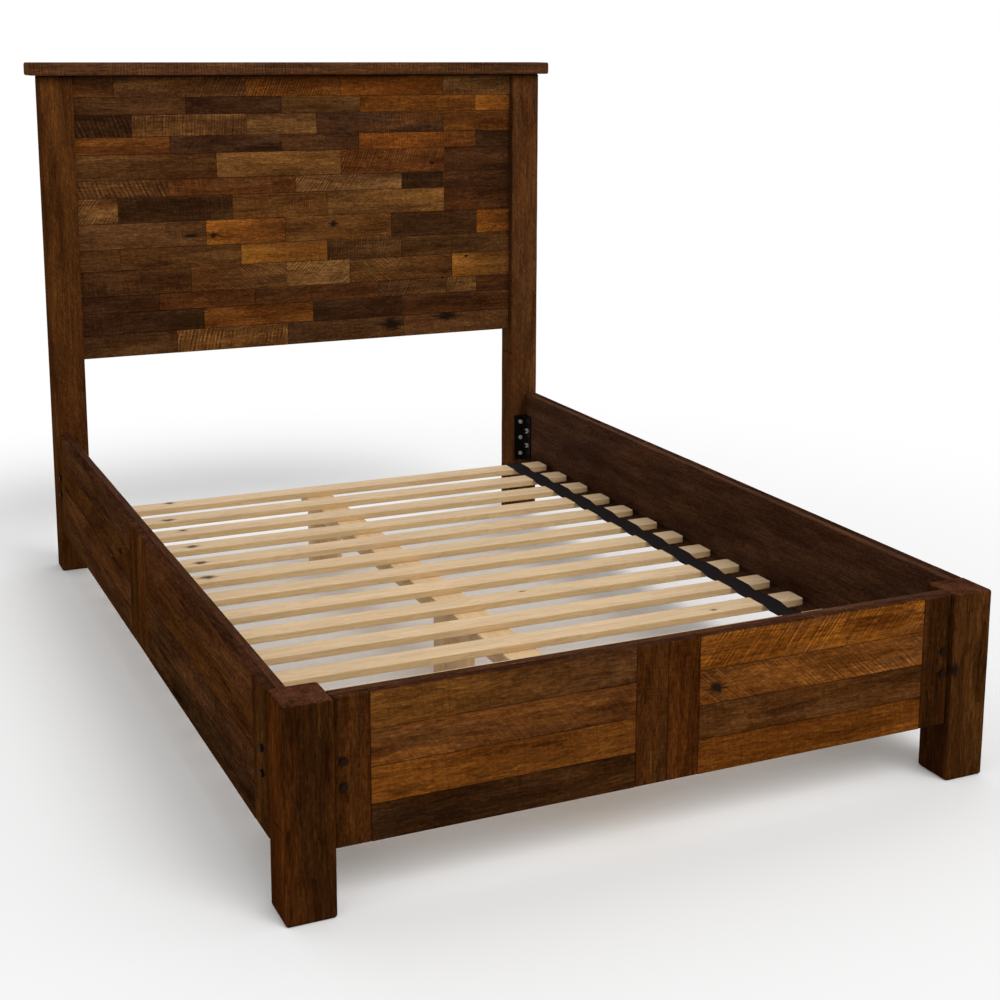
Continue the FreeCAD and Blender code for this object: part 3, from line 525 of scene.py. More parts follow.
@dataclass(frozen=True)
class Wood:
    """Solid wood that reads its grain, tones, saw marks and knots from the boards' meshes.

    The weights are in stops: one stop lighter is twice the light.
    """

    name: str
    clouds: float = 3.2
    coarse: float = 1.2
    streak: float = 1.2
    fibre: float = 2.0
    fleck: float = 2.4
    dash: float = 1.7
    rings: float = 0.4
    scratch: float = 3.4
    kerf: float = 1.1
    ridge: float = 0.4
    waver: float = 0.008
    sawn: float = 1.0
    worked: float = 0.14
    stains: float = 0.7
    blend: float = 0.55
    edge: float = 0.0022
    lifts: tuple[float, float, float] = (1.0, 1.08, 1.02)
    holes: bool = True
    knot_colour: tuple[float, float, float] = (0.010, 0.006, 0.004)
    rough: float = 0.60
    gloss: float = 0.0
    relief: float = 0.0014
    relief_shown: float = 0.75

    @staticmethod
    def locate(tree: Surface, waver: float) -> Spot:
        """Find a point's place in its board.

        The grain is pushed aside by a knot, less and less with the square of the distance, and
        sways a little everywhere.

        Args:
            tree: the material's nodes.
            waver: how far the grain sways, in metres.

        Returns:
            The place's outputs.
        """
        base, fade, rim, push = 2.718, -0.12, 0.6, 0.009
        local, seed, knot = (tree.attribute(name) for name in ("local", "seed", "knot"))
        along, across, deep = tree.parts(local)
        reach = tree.vector("LENGTH", knot)
        near = tree.math("POWER", base, tree.times(tree.times(reach, reach), fade))
        side = tree.math("DIVIDE", tree.parts(knot)[1], tree.add(rim, reach))
        own = tree.vector("ADD", local, seed)
        sway = tree.grain(own, Grain.SWAY)
        bent = tree.add(tree.add(across, tree.times(near, side), push), sway, waver)
        place = tree.vector("ADD", tree.join(along, bent, deep), seed)
        return Spot(along, across, deep, bent, sway, seed, own, place, knot, reach)

    @staticmethod
    def grow(tree: Surface, spot: Spot, clouds: Socket, coarse: Socket) -> Socket:
        """Growth rings about a pith under the board's face.

        The distance to the pith, moved by two noises, is cut into rings that rise as a power.

        Args:
            tree: the material's nodes.
            spot: the point's place.
            clouds: the widest noise.
            coarse: the next finer noise.

        Returns:
            The rings' output, from 0 to 1.
        """
        pith, by_clouds, by_coarse, to_metre, power = 0.03, 0.07, 0.012, 115.0, 2.2
        sunk = tree.add(-pith, spot.deep)
        far = tree.math("SQRT", tree.add(tree.times(spot.bent, spot.bent), sunk, sunk))
        drift = tree.add(tree.add(far, coarse, by_coarse), clouds, by_clouds)
        return tree.math("POWER", tree.math("FRACT", tree.times(drift, to_metre)), power)

    def saw(self, tree: Surface, spot: Spot, clouds: Socket) -> tuple[Socket, Socket, Socket, Socket]:
        """Saw marks that lean across the board.

        Two sines of the run along the board and a fine scratch noise make a wave. Its tops are
        kerfs and its hollows are ridges, and both show in patches only.

        Args:
            tree: the material's nodes.
            spot: the point's place.
            clouds: the widest noise.

        Returns:
            The scratch noise, its share in light and shade, the kerfs and the ridges.
        """
        swerve, wander, fine, everywhere = 0.014, 9.0, 3.4, 0.35
        beat, beat_start, beat_share = 0.71, 1.3, 0.45
        strength, lean, spacing = tree.parts(tree.attribute("marks"))
        run = tree.add(tree.add(spot.along, spot.across, lean), spot.sway, swerve)
        hair = tree.vector("ADD", tree.join(run, spot.across, spot.deep), spot.seed)
        scratch = tree.grain(hair, Grain.SCRATCH)
        patch = tree.ease(tree.grain(spot.place, Grain.PATCH), 0.36, 0.58)
        turn = tree.times(tree.math("DIVIDE", run, spacing), TURN)
        other = tree.math("SINE", tree.add(beat_start, turn, beat))
        wave = tree.add(tree.math("SINE", tree.add(turn, clouds, wander)), other, beat_share)
        wave = tree.add(tree.add(-fine / 2, wave), scratch, fine)
        depth = tree.times(tree.times(patch, strength), self.sawn)
        kerf = tree.times(tree.ease(wave, 0.3, 1.05), depth)
        ridge = tree.times(tree.ease(wave, -0.2, -0.95), depth)
        sawing = tree.times(tree.add(-0.5, scratch), tree.add(self.worked, strength))
        return scratch, tree.times(sawing, tree.add(everywhere, patch)), kerf, ridge

    def pierce(self, tree: Surface, spot: Spot) -> Socket:
        """Knots, their checks and nail holes.

        A knot is a ragged blot about its middle, with a thin leaning check through it. A nail
        hole is the middle of a wide cell.

        Args:
            tree: the material's nodes.
            spot: the point's place.

        Returns:
            How far the wood is dark, from 0 to 1.
        """
        uneven, inset, check_lean, check_thin, check_long = 1.5, -0.75, 0.3, 4.5, 0.5
        hole_cells, hole_core, hole_rim = 6.0, 0.006, 0.010
        blot = tree.add(tree.add(inset, spot.reach), tree.grain(spot.own, Grain.RAGGED), uneven)
        core = tree.ease(blot, 0.3, 1.15, 0.96, 0.0)
        along, across, _ = tree.parts(spot.knot)
        check = tree.add(tree.times(along, check_lean), across, check_thin)
        check = tree.vector("LENGTH", tree.join(tree.times(along, check_long), check, 0.0))
        core = tree.more(core, tree.ease(check, 0.4, 1.0, 0.9, 0.0))
        if self.holes:
            inputs = {"Vector": spot.place, "Scale": hole_cells}
            cells = tree.make("TexVoronoi", inputs, voronoi_dimensions="2D")
            core = tree.more(core, tree.ease(cells.outputs["Distance"], hole_core, hole_rim, 1.0, 0.0))
        return core

    def build(self) -> Finish:
        """Make the material.

        Returns:
            A material whose colour blends the board's two tones in patches. Clouds, streaks,
            fibres and rings along the grain, saw marks across it, stains and edges make it
            lighter or darker by so many stops, and knots, checks and nail holes go dark.
        """
        streak_rough, kerf_rough = 0.22, 0.15
        tree = Surface(self.name)
        spot = self.locate(tree, self.waver)
        kinds = (Grain.CLOUDS, Grain.COARSE, Grain.STREAK, Grain.FIBRE, Grain.FLECK, Grain.DASH)
        noises = [tree.grain(spot.place, kind) for kind in kinds]
        clouds, coarse, streak, fibre, _, _ = noises
        ring = self.grow(tree, spot, clouds, coarse)
        scratch, sawing, kerf, ridge = self.saw(tree, spot, clouds)
        stain = tree.ease(tree.grain(spot.place, Grain.STAIN), 0.55, 0.70)
        inner = tree.ease(tree.attribute("edge", "Fac"), 0.0, self.edge)
        # Stops at the edges: dark joints on most boards; on the mosaic, a painted highlight on proud strips
        # and painted shade on recessed ones
        rim = tree.times(tree.add(-1.0, inner), tree.attribute("rim", "Fac"))
        weights = (self.clouds, self.coarse, self.streak, self.fibre, self.fleck, self.dash)
        stops = tree.stops(*zip(noises, weights), (ring, -self.rings))
        for value, weight in ((sawing, self.scratch), (kerf, -self.kerf), (ridge, self.ridge),
                              (stain, -self.stains), (rim, 1.0)):
            stops = tree.add(stops, value, weight)
        shade = tree.join(*(tree.math("POWER", 2.0, tree.times(stops, lift)) for lift in self.lifts))
        share = tree.ease(tree.grain(spot.place, Grain.SHARE), 0.46, 0.66, 0.0, self.blend)
        share = tree.more(share, tree.attribute("fade", "Fac"))
        colour = tree.mix(share, tree.attribute("tint", "Color"), tree.attribute("second", "Color"))
        core = self.pierce(tree, spot)
        colour = tree.mix(core, tree.vector("MULTIPLY", colour, shade), self.knot_colour)
        rough = tree.add(self.rough - streak_rough / 2, streak, streak_rough)
        tree.finish(colour, tree.add(rough, kerf, kerf_rough), self.gloss)
        height = tree.times(fibre, 0.18)
        for value, weight in ((streak, 0.35), (scratch, 0.3), (kerf, -0.75), (core, -0.6)):
            height = tree.add(height, value, weight)
        tree.bump(height, self.relief, self.relief_shown)
        return tree.material


@dataclass(frozen=True)
class Metal:
    """Painted or plated metal."""

    name: str
    colour: tuple[int, int, int]
    metallic: float
    rough: float
    gloss: float = 0.5
    grain: float = 0.08
    cloud_cells: float = 160.0
    peel_cells: float = 900.0
    peel_depth: float = 0.0004
    uneven: float = 0.2

    def build(self) -> Finish:
        """Make the material.

        Returns:
            A material with a faint orange-peel relief and a cloudy gloss.
        """
        tree = Surface(self.name)
        place = tree.place()
        cloud = tree.noise(place, (self.cloud_cells,) * 3, 3.0)
        colour = tree.scale(linear(self.colour), tree.swing(cloud, 0.5))
        tree.finish(colour, tree.add(self.rough - self.uneven / 2, cloud, self.uneven), self.gloss)
        tree.put(tree.shader.inputs["Metallic"], self.metallic)
        tree.bump(tree.noise(place, (self.peel_cells,) * 3, 2.0), self.peel_depth, self.grain)
        return tree.material


@dataclass(frozen=True)
class Webbing:
    """Black woven webbing with ribs along the strap."""

    name: str = "strap_webbing"
    colour: tuple[int, int, int] = (33, 28, 29)
    rib: float = 0.0024
    pick: float = 0.0018
    fuzz_cells: float = 300.0
    rough: float = 0.85
    gloss: float = 0.03
    relief: float = 0.0005

    def build(self) -> Finish:
        """Make the material.

        Returns:
            A cloth whose relief is a chequer of warp and weft threads.
        """
        tree = Surface(self.name)
        weave = tree.attribute("weave")
        across, along, _ = tree.parts(weave)
        warp = tree.math("SINE", tree.times(across, TURN / self.rib))
        weft = tree.math("SINE", tree.times(along, TURN / self.pick))
        thread = tree.add(0.5, tree.times(warp, weft), 0.5)
        fuzz = tree.noise(weave, (self.fuzz_cells,) * 3, 3.0)
        shade = tree.times(tree.swing(thread, 0.5), tree.swing(fuzz, 0.7))
        tree.finish(tree.scale(linear(self.colour), shade), self.rough, self.gloss)
        tree.bump(tree.add(thread, fuzz, 0.3), self.relief, 0.8)
        return tree.material


@dataclass
class Board:
    """One squared piece of wood, with its grain along one axis.

    Sizes are in metres. The four rounds go round the section from its high corner, the corner
    draws the ends in across, the foot draws them in all round, and wear is the uneven loss of
    each face.
    """

    low: np.ndarray
    high: np.ndarray
    grain: Axis
    thick: Axis
    tone: Tone
    marks: Marks = Marks.PLANED
    arris: float = 0.0010
    rounds: tuple[float, float, float, float] | None = None
    corner: float = 0.0
    foot: float = 0.0
    wear: float = 0.00005
    seed: int = 0
    knot: tuple[float, float, float, float] | None = None
    second: Tone | None = None
    fade: tuple[float, float] = (0.0, 0.0)
    # A tone for the narrow faces: painted light and shade on the legs' sides and the slats' edges
    edge_tone: Tone | None = None
    edge_reach: float = 0.0012
    # A tone laid along the top, within reach of it: painted light, the cap's shadow on some boards and a
    # sheen on others
    top_tone: Tone | None = None
    top_reach: float = 0.0022
    rim: float = 0.5
    pitch: float = 0.022

    @staticmethod
    def draw_in(near: np.ndarray, radius: float) -> np.ndarray:
        """How far a quarter circle at an end draws the section in.

        Args:
            near: distances from the nearer end.
            radius: the quarter circle's radius.

        Returns:
            The radius less the circle's height at each distance, and zero past the radius.
        """
        inside = np.clip(radius - near, 0.0, radius)
        return radius - np.sqrt(radius ** 2 - inside ** 2)

    @staticmethod
    def wander(run: np.ndarray, rng: np.random.Generator) -> np.ndarray:
        """A slow uneven wave along a board.

        Args:
            run: distances along the board.
            rng: source of the chance values.

        Returns:
            The sum of five sines of chance pitch and start, the slower ones larger.
        """
        sines, slow, quick, last_start = 5, 1.5, 26.0, 6.28
        tops = rng.uniform(slow, quick, sines)
        turns = rng.uniform(0.0, last_start, sines)
        return (np.sin(run[:, None] * tops * 2 + turns) / np.sqrt(tops)).sum(1) * 0.5

    def stations(self, length: float) -> tuple[np.ndarray, np.ndarray]:
        """Places along the board where its section is drawn.

        Args:
            length: the board's length.

        Returns:
            Distances from the first end, and distances from the nearer end.
        """
        turn = max(self.corner, self.foot, self.arris)
        bend = turn * (1 - np.cos(np.linspace(0.0, QUARTER, 6)))
        start = np.concatenate([bend, [turn + 0.002, turn + 0.006]])
        count = max(3, int((length - 2 * start[-1]) / self.pitch))
        middle = np.linspace(start[-1], length - start[-1], count + 1)[1:-1]
        run = np.concatenate([start, middle, (length - start)[::-1]])
        return run, np.minimum(run, length - run)

    @staticmethod
    def section(width: float, depth: float, corners: np.ndarray) -> np.ndarray:
        """The points round a section.

        Each corner is a quarter circle. Between the corners the wide sides have five points and
        the narrow sides two, the outer ones close to the corners.

        Args:
            width: the section's width.
            depth: its thickness.
            corners: radii of its four corners.

        Returns:
            Shares of the half width and the half thickness, then the circle's cosine and sine.
        """
        small, close, least = 0.002, 0.002, 0.004
        steps = 4 if corners.max() < small else 6
        angle = np.linspace(0.0, QUARTER, steps)
        shy, shy_deep = (1 - close / max(size / 2 - corners.max(), least) for size in (width, depth))
        rows = []
        for quarter, signs in enumerate(((1, 1), (-1, 1), (-1, -1), (1, -1))):
            turned = angle + quarter * QUARTER
            arc = np.stack([np.cos(turned), np.sin(turned)], 1)
            rows.append(np.concatenate([np.tile(signs, (steps, 1)), arc], 1))
            sign = 1 if quarter < 2 else -1
            if quarter % 2 == 0:
                flat = sign * np.array([shy, 0.5, 0.0, -0.5, -shy])
                level = np.full_like(flat, sign)
                rows.append(np.stack([flat, level, 0 * level, level], 1))
            else:
                flat = sign * np.array([shy_deep, -shy_deep])
                level = np.full_like(flat, -sign)
                rows.append(np.stack([level, flat, level, 0 * level], 1))
        return np.concatenate(rows).T

    def mesh(self) -> dict[str, np.ndarray]:
        """Draw the board.

        A rounded rectangle is swept along the grain, with a radius for each of its four
        corners. Its half sizes draw in by a quarter circle at both ends, and its sides and
        radii wander a little with the run.

        Returns:
            Arrays of points, quads and ends, and the values that the wood's finish reads.
        """
        uneven_round, most_round = 0.35, 0.9
        size = self.high - self.low
        wide = sum(Axis) - self.grain - self.thick
        length, width, depth = size[self.grain], size[wide], size[self.thick]
        rng = np.random.default_rng(int(self.seed))
        run, near = self.stations(length)
        uneven = self.wear * (1 + np.stack([self.wander(run, rng), self.wander(run, rng)]))
        end = max(self.foot, self.arris)
        half_wide = width / 2 - self.draw_in(near, max(self.corner, end)) - uneven[0]
        half_deep = depth / 2 - self.draw_in(near, end) - uneven[1]
        half_wide = np.minimum(half_wide, width / 2)
        half_deep = np.minimum(half_deep, depth / 2)
        corners = np.array(self.rounds or (self.arris,) * 4)
        wide_share, deep_share, cosine, sine = self.section(width, depth, corners)
        upper = deep_share > 0
        which = np.where(wide_share >= 0, np.where(upper, 0, 3), np.where(upper, 1, 2))
        radius = corners[which] * np.clip(1 + uneven_round * self.wander(run, rng), 0.5, 1.5)[:, None]
        radius = np.minimum(radius, most_round * np.minimum(half_wide, half_deep)[:, None])
        across = (half_wide[:, None] - radius) * wide_share + radius * cosine
        deep = (half_deep[:, None] - radius) * deep_share + radius * sine
        along = np.broadcast_to(run[:, None], across.shape)
        local = np.stack([along, across, deep], -1).reshape(-1, 3)
        points = np.empty_like(local)
        centre = (self.low + self.high) / 2
        points[:, self.grain] = self.low[self.grain] + local[:, 0]
        points[:, wide] = centre[wide] + local[:, 1]
        points[:, self.thick] = centre[self.thick] + local[:, 2]
        grid = np.arange(across.size).reshape(across.shape)
        ahead = np.roll(grid, -1, 1)
        quads = np.stack([grid[:-1], ahead[:-1], ahead[1:], grid[1:]], -1).reshape(-1, 4)
        ends = np.stack([grid[0][::-1], grid[-1]])
        turned_over = np.cross(np.eye(3)[self.grain], np.eye(3)[wide])[self.thick] < 0
        if turned_over:
            quads, ends = quads[:, ::-1], ends[:, ::-1]
        shape = {"points": points, "quads": quads, "ends": ends, "local": local}
        return shape | self.paint(local, points[:, Z], length, width, rng)

    def paint(self, local: np.ndarray, height: np.ndarray, length: float, width: float,
              rng: np.random.Generator) -> dict[str, np.ndarray]:
        """Work out what the wood's finish reads.

        Args:
            local: the points along, across and through the board.
            height: the points' heights over the floor.
            length: the board's length.
            width: the board's width.
            rng: source of the chance values.

        Returns:
            Arrays of seed, tones, fade, saw marks, knot, and nearness to the edge.
        """
        far_seed, lean_low, lean_high, fade_from, fade_to = 40.0, 0.85, 1.15, 0.1, 0.9
        count = len(local)
        if self.knot is None:
            knot = np.full((count, 3), NO_KNOT)
        else:
            share_along, share_across, radius, stretch = self.knot
            middle = np.array([share_along * length, (share_across - 0.5) * width, 0.0])
            knot = (local - middle) / np.array([radius * stretch, radius, 1.0])
            knot[:, 2] = 0.0
        edge = np.minimum(np.minimum(local[:, 0], length - local[:, 0]), width / 2 - np.abs(local[:, 1]))
        tint = np.tile(self.tone.light, (count, 1))
        # Narrow faces take the edge tone: painted light and shade on them
        if self.edge_tone is not None:
            narrow = np.clip(1 - (edge[:, None] - self.wear) / self.edge_reach, 0.0, 1.0)
            tint = tint + narrow * (self.edge_tone.light - tint)
        companion = self.second or COMPANIONS[rng.integers(len(COMPANIONS))]
        second = np.tile(companion.light, (count, 1))
        # Painted light along the top: the cap's shadow on some boards, a sheen on others, tints the points
        # near the board's top
        if self.top_tone is not None:
            crown = np.clip(1 - (self.high[Z] - height[:, None] - self.wear) / self.top_reach, 0.0, 1.0)
            tint = tint + crown * (self.top_tone.light - tint)
            second = second + crown * (self.top_tone.light - second)
        seed = rng.uniform(-far_seed, far_seed, 3)
        strength, lean, spacing = self.marks.value
        marks = (strength, lean * rng.uniform(lean_low, lean_high), spacing)
        return {
            "seed": np.tile(seed, (count, 1)),
            "tint": tint,
            "second": second,
            "fade": np.interp(local[:, 0] / length, (fade_from, fade_to), self.fade),
            "marks": np.tile(marks, (count, 1)),
            "knot": knot,
            "edge": np.maximum(edge, 0.0),
            "rim": np.full(count, self.rim),
        }


def make_mesh(name: str, points: np.ndarray, faces: list[list[int]]) -> bpy.types.Object:
    """A smooth mesh object at the origin.

    Args:
        name: the piece's name.
        points: its points in metres.
        faces: its faces as lists of point numbers.

    Returns:
        The new object, linked into the scene.
    """
    mesh = bpy.data.meshes.new(name)
    mesh.from_pydata(points.tolist(), [], faces)
    mesh.polygons.foreach_set("use_smooth", np.ones(len(mesh.polygons), bool))
    mesh.update()
    piece = bpy.data.objects.new(name, mesh)
    bpy.context.scene.collection.objects.link(piece)
    return piece


def add_values(piece: bpy.types.Object, name: str, values: np.ndarray) -> None:
    """Keep values on a mesh's points.

    Args:
        piece: the mesh object.
        name: the attribute's name.
        values: one number, vector or colour to a point.
    """
    kinds = {1: ("FLOAT", "value"), 3: ("FLOAT_VECTOR", "vector"), 4: ("FLOAT_COLOR", "color")}
    kind, member = kinds[1 if values.ndim == 1 else values.shape[1]]
    layer = piece.data.attributes.new(name, kind, "POINT")
    layer.data.foreach_set(member, np.ascontiguousarray(values, np.float32).ravel())


def dress(piece: bpy.types.Object, material: Finish, node: str, body: str) -> None:
    """Give a piece its finish and its place in the frame, and report it.

    Args:
        piece: the mesh object.
        material: its finish.
        node: the frame's node that it stands for.
        body: the body that it moves with.
    """
    piece.data.materials.append(material)
    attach(piece, body)
    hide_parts(node)
    log.info("%s in %s, on %s", piece.name, material.name, body)


def timber(name: str, boards: list[Board], material: Finish, node: str,
           body: str = FRAME_BODY) -> None:
    """Make and dress one piece of one or more boards.

    Args:
        name: the piece's name.
        boards: its boards.
        material: its wood.
        node: the frame's node that it stands for.
        body: the body that it moves with.
    """
    drawn = [board.mesh() for board in boards]
    starts = np.cumsum([0] + [len(part["points"]) for part in drawn])
    faces = []
    for part, start in zip(drawn, starts):
        faces += (part["quads"] + start).tolist() + (part["ends"] + start).tolist()
    piece = make_mesh(name, np.concatenate([part["points"] for part in drawn]), faces)
    for value in ("local", "seed", "tint", "second", "fade", "marks", "knot", "edge", "rim"):
        add_values(piece, value, np.concatenate([part[value] for part in drawn]))
    dress(piece, material, node, body)


def node_box(node: str) -> tuple[np.ndarray, np.ndarray]:
    """Corners of a node of the frame.

    Args:
        node: the node's name.

    Returns:
        Its lowest and highest corner in metres.
    """
    low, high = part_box(node)
    return np.array(low, float), np.array(high, float)


@dataclass
class Headboard:
    """Posts, cap, back sheet and mosaic of strips."""

    joint: float = 0.0004
    strip_recess: float = 0.0008
    grades: int = 3
    # Edge stops of the strips by how far each is set back: a painted highlight on the proud strips' edges,
    # painted shade on the recessed ones'
    depth_light_and_shade: tuple[float, float, float] = (-0.35, 0.5, 0.7)
    # How far down the painted shadow of the cap reaches, in metres
    cap_shadow_reach: float = 0.017
    strip_arris: float = 0.0005
    post_round: float = 0.004
    cap_round: float = 0.005
    sheet_arris: float = 0.0008

    def build(self, wood: Finish, solid: Finish, plain: Finish) -> None:
        """Build and dress the headboard.

        Args:
            wood: finish of the strips.
            solid: finish of the posts and the cap.
            plain: finish of the back sheet.
        """
        for course, strips in enumerate(MOSAIC):
            self.lay_course(course, strips, wood)
        cap_low, cap_high = node_box("headboard_cap")
        for number, (side, tone) in enumerate((("left", Tone.WALNUT), ("right", Tone.BROWN))):
            node = f"headboard_{side}_post"
            low, high = node_box(node)
            high[Z] = cap_low[Z]
            # The post's top under the cap carries the painted shadow of the cap
            board = Board(low, high, Z, Y, tone, Marks.SCRATCHED, self.post_round, seed=Seed.POST + number,
                          second=Tone.RED_BROWN, top_tone=Tone.GRIME, top_reach=self.cap_shadow_reach, rim=0.1)
            timber(f"{node}_wood", [board], solid, node)
        board = Board(cap_low, cap_high, X, Z, Tone.CAP_TAN, Marks.UPRIGHT, self.cap_round, seed=Seed.CAP,
                      second=Tone.RED_BROWN, rim=0.0)
        timber("headboard_cap_wood", [board], solid, "headboard_cap")
        node = "headboard_back_panel"
        board = Board(*node_box(node), X, Y, Tone.STAIN, Marks.PLANED, self.sheet_arris, seed=Seed.PANEL,
                      second=Tone.CHOCOLATE, rim=0.1)
        timber(f"{node}_sheet", [board], plain, node)

    def lay_course(self, course: int, strips: tuple[tuple[int, Tone, Marks], ...],
                   wood: Finish) -> None:
        """Lay one course of the mosaic.

        Args:
            course: its number from the top, from zero.
            strips: length, tone and marks of its strips.
            wood: finish of the strips.
        """
        node = f"headboard_course_{course + 1:02d}"
        low, high = node_box(node)
        half = self.joint / 2
        run = low[X] - half
        boards = []
        for number, (length, tone, marks) in enumerate(strips):
            last = number == len(strips) - 1
            end = high[X] + half if last else run + length / 1000
            grade = (number + 2 * (course + 1)) % self.grades
            start = np.array([run + half, low[Y] + grade * self.strip_recess, low[Z]])
            stop = np.array([end - half, high[Y], high[Z]])
            second, *fade = FADES.get((course, number), (None, 0.0, 0.0))
            # The top course carries the painted shadow of the cap along its upper edge
            boards.append(Board(start, stop, X, Y, tone, marks, self.strip_arris,
                                seed=SEEDS_APART * course + number, knot=KNOTS.get((course, number)),
                                second=second, fade=tuple(fade), rim=self.depth_light_and_shade[grade],
                                top_tone=Tone.GRIME if course == 0 else None, top_reach=self.cap_shadow_reach))
            run = end
        timber(f"{node}_strips", boards, wood, node)


@dataclass
class Rails:
    """Foot legs and the three faced rails."""

    joint: float = 0.0004
    rows: int = 4
    front_batten: float = 0.066
    side_batten: float = 0.084
    leg_round: float = 0.0055
    leg_foot: float = 0.005
    board_arris: float = 0.0006
    core_arris: float = 0.0012
    batten_foot: float = 0.002
    top_ease: float = 0.0028
    end_round: float = 0.005

    def build(self, wood: Finish, solid: Finish, plain: Finish) -> None:
        """Build and dress legs and rails.

        Args:
            wood: finish of the facing boards.
            solid: finish of the legs.
            plain: finish of the inner boards.
        """
        # Each leg's flank tone is painted light on its narrow sides: lighter on the left leg, darker on the
        # right
        legs = {"left": (Tone.UMBER, Tone.EMBER, Tone.EMBER, (0.0, 0.0), None),
                "right": (Tone.RUSSET, Tone.UMBER, Tone.WALNUT, (0.0, 0.45), (0.60, 0.07, 0.011, 1.6))}
        for number, (side, (tone, painted_flank, second, fade, knot)) in enumerate(legs.items()):
            node = f"foot_{side}_leg"
            # The leg's top carries a painted sheen
            board = Board(*node_box(node), Z, Y, tone, Marks.SMOOTH, self.leg_round, foot=self.leg_foot,
                          seed=Seed.LEG + number, second=second, fade=fade, knot=knot, edge_tone=painted_flank,
                          top_tone=Tone.WORN, rim=0.1)
            timber(f"{node}_wood", [board], solid, node)
        facings = {"front": FRONT_FACING, "left": LEFT_FACING, "right": RIGHT_FACING}
        rounds = (self.top_ease, self.core_arris, self.core_arris, self.top_ease)
        for number, (side, plan) in enumerate(facings.items()):
            node = f"{side}_rail_facing"
            boards = self.face(side, plan, Seed.FACING + SEEDS_APART * number)
            timber(f"{node}_boards", boards, wood, node)
            node = f"{side}_rail_core"
            run, thick = self.lie(side)
            # The core's top edge carries a painted sheen
            board = Board(*node_box(node), run, thick, Tone.STAIN, Marks.PLANED, self.core_arris, rounds,
                          seed=Seed.CORE + number, second=Tone.CHOCOLATE, top_tone=Tone.WORN_RAIL, rim=0.1)
            timber(f"{node}_board", [board], plain, node)

    @staticmethod
    def lie(side: str) -> tuple[Axis, Axis]:
        """The axes along and through a rail."""
        return (X, Y) if side == "front" else (Y, X)

    def face(self, side: str, plan: tuple[tuple, ...], seed: int) -> list[Board]:
        """Lay out a rail's battens and boards.

        Args:
            side: front, left or right.
            plan: tones of the battens, and tones and marks of both bays' boards.
            seed: first number for the boards' chance values.

        Returns:
            Two end battens and two middle battens along the run, then the boards of both bays
            from the top.
        """
        low, high = node_box(f"{side}_rail_facing")
        run, thick = self.lie(side)
        batten = self.front_batten if side == "front" else self.side_batten
        half = self.joint / 2
        first, last = low[run] - half, high[run] + half
        middle = (first + last) / 2
        tones, *bays = plan
        plain, ease, outside = self.board_arris, self.top_ease, 0 if side == "right" else 1
        places = []
        for number, (tone, start) in enumerate(zip(tones, (first, middle - batten, middle, last - batten))):
            rounds = [plain] * 4
            if number == 0:
                rounds[1 + outside] = self.end_round
            if number == len(tones) - 1:
                rounds[3 * outside] = self.end_round
            # The battens' tops carry a painted sheen
            extra = {"rounds": tuple(rounds), "foot": self.batten_foot, "top_tone": Tone.WORN_RAIL,
                     "second": Tone.EMBER}
            places.append((start, start + batten, low[Z], high[Z], Z, tone, Marks.PLANED, extra))
        step = (high[Z] - low[Z] + self.joint) / self.rows
        bounds = ((first + batten, middle - batten), (middle + batten, last - batten))
        usual = (Tone.DARK_RED if side == "left" else None, 0.0, 0.0)
        for bay, (rows, (start, stop)) in enumerate(zip(bays, bounds)):
            for row, (tone, marks) in enumerate(rows):
                spot = (side, bay, row)
                top = high[Z] - row * step
                second, *fade = FACING_FADES.get(spot, usual)
                extra = {"knot": FACING_KNOTS.get(spot), "second": second, "fade": tuple(fade)}
                # The top row's upper edge carries a painted sheen
                if row == 0:
                    extra |= {"rounds": (ease, plain, plain, ease), "top_tone": Tone.WORN_RAIL}
                places.append((start, stop, top - step + self.joint, top, run, tone, marks, extra))
        boards = []
        for start, stop, bottom, top, grain, tone, marks, extra in places:
            begin, end = low.copy(), high.copy()
            begin[run], end[run] = start + half, stop - half
            begin[Z], end[Z] = bottom, top
            number = seed + len(boards)
            boards.append(Board(begin, end, grain, thick, tone, marks, plain, seed=number, **extra))
        return boards


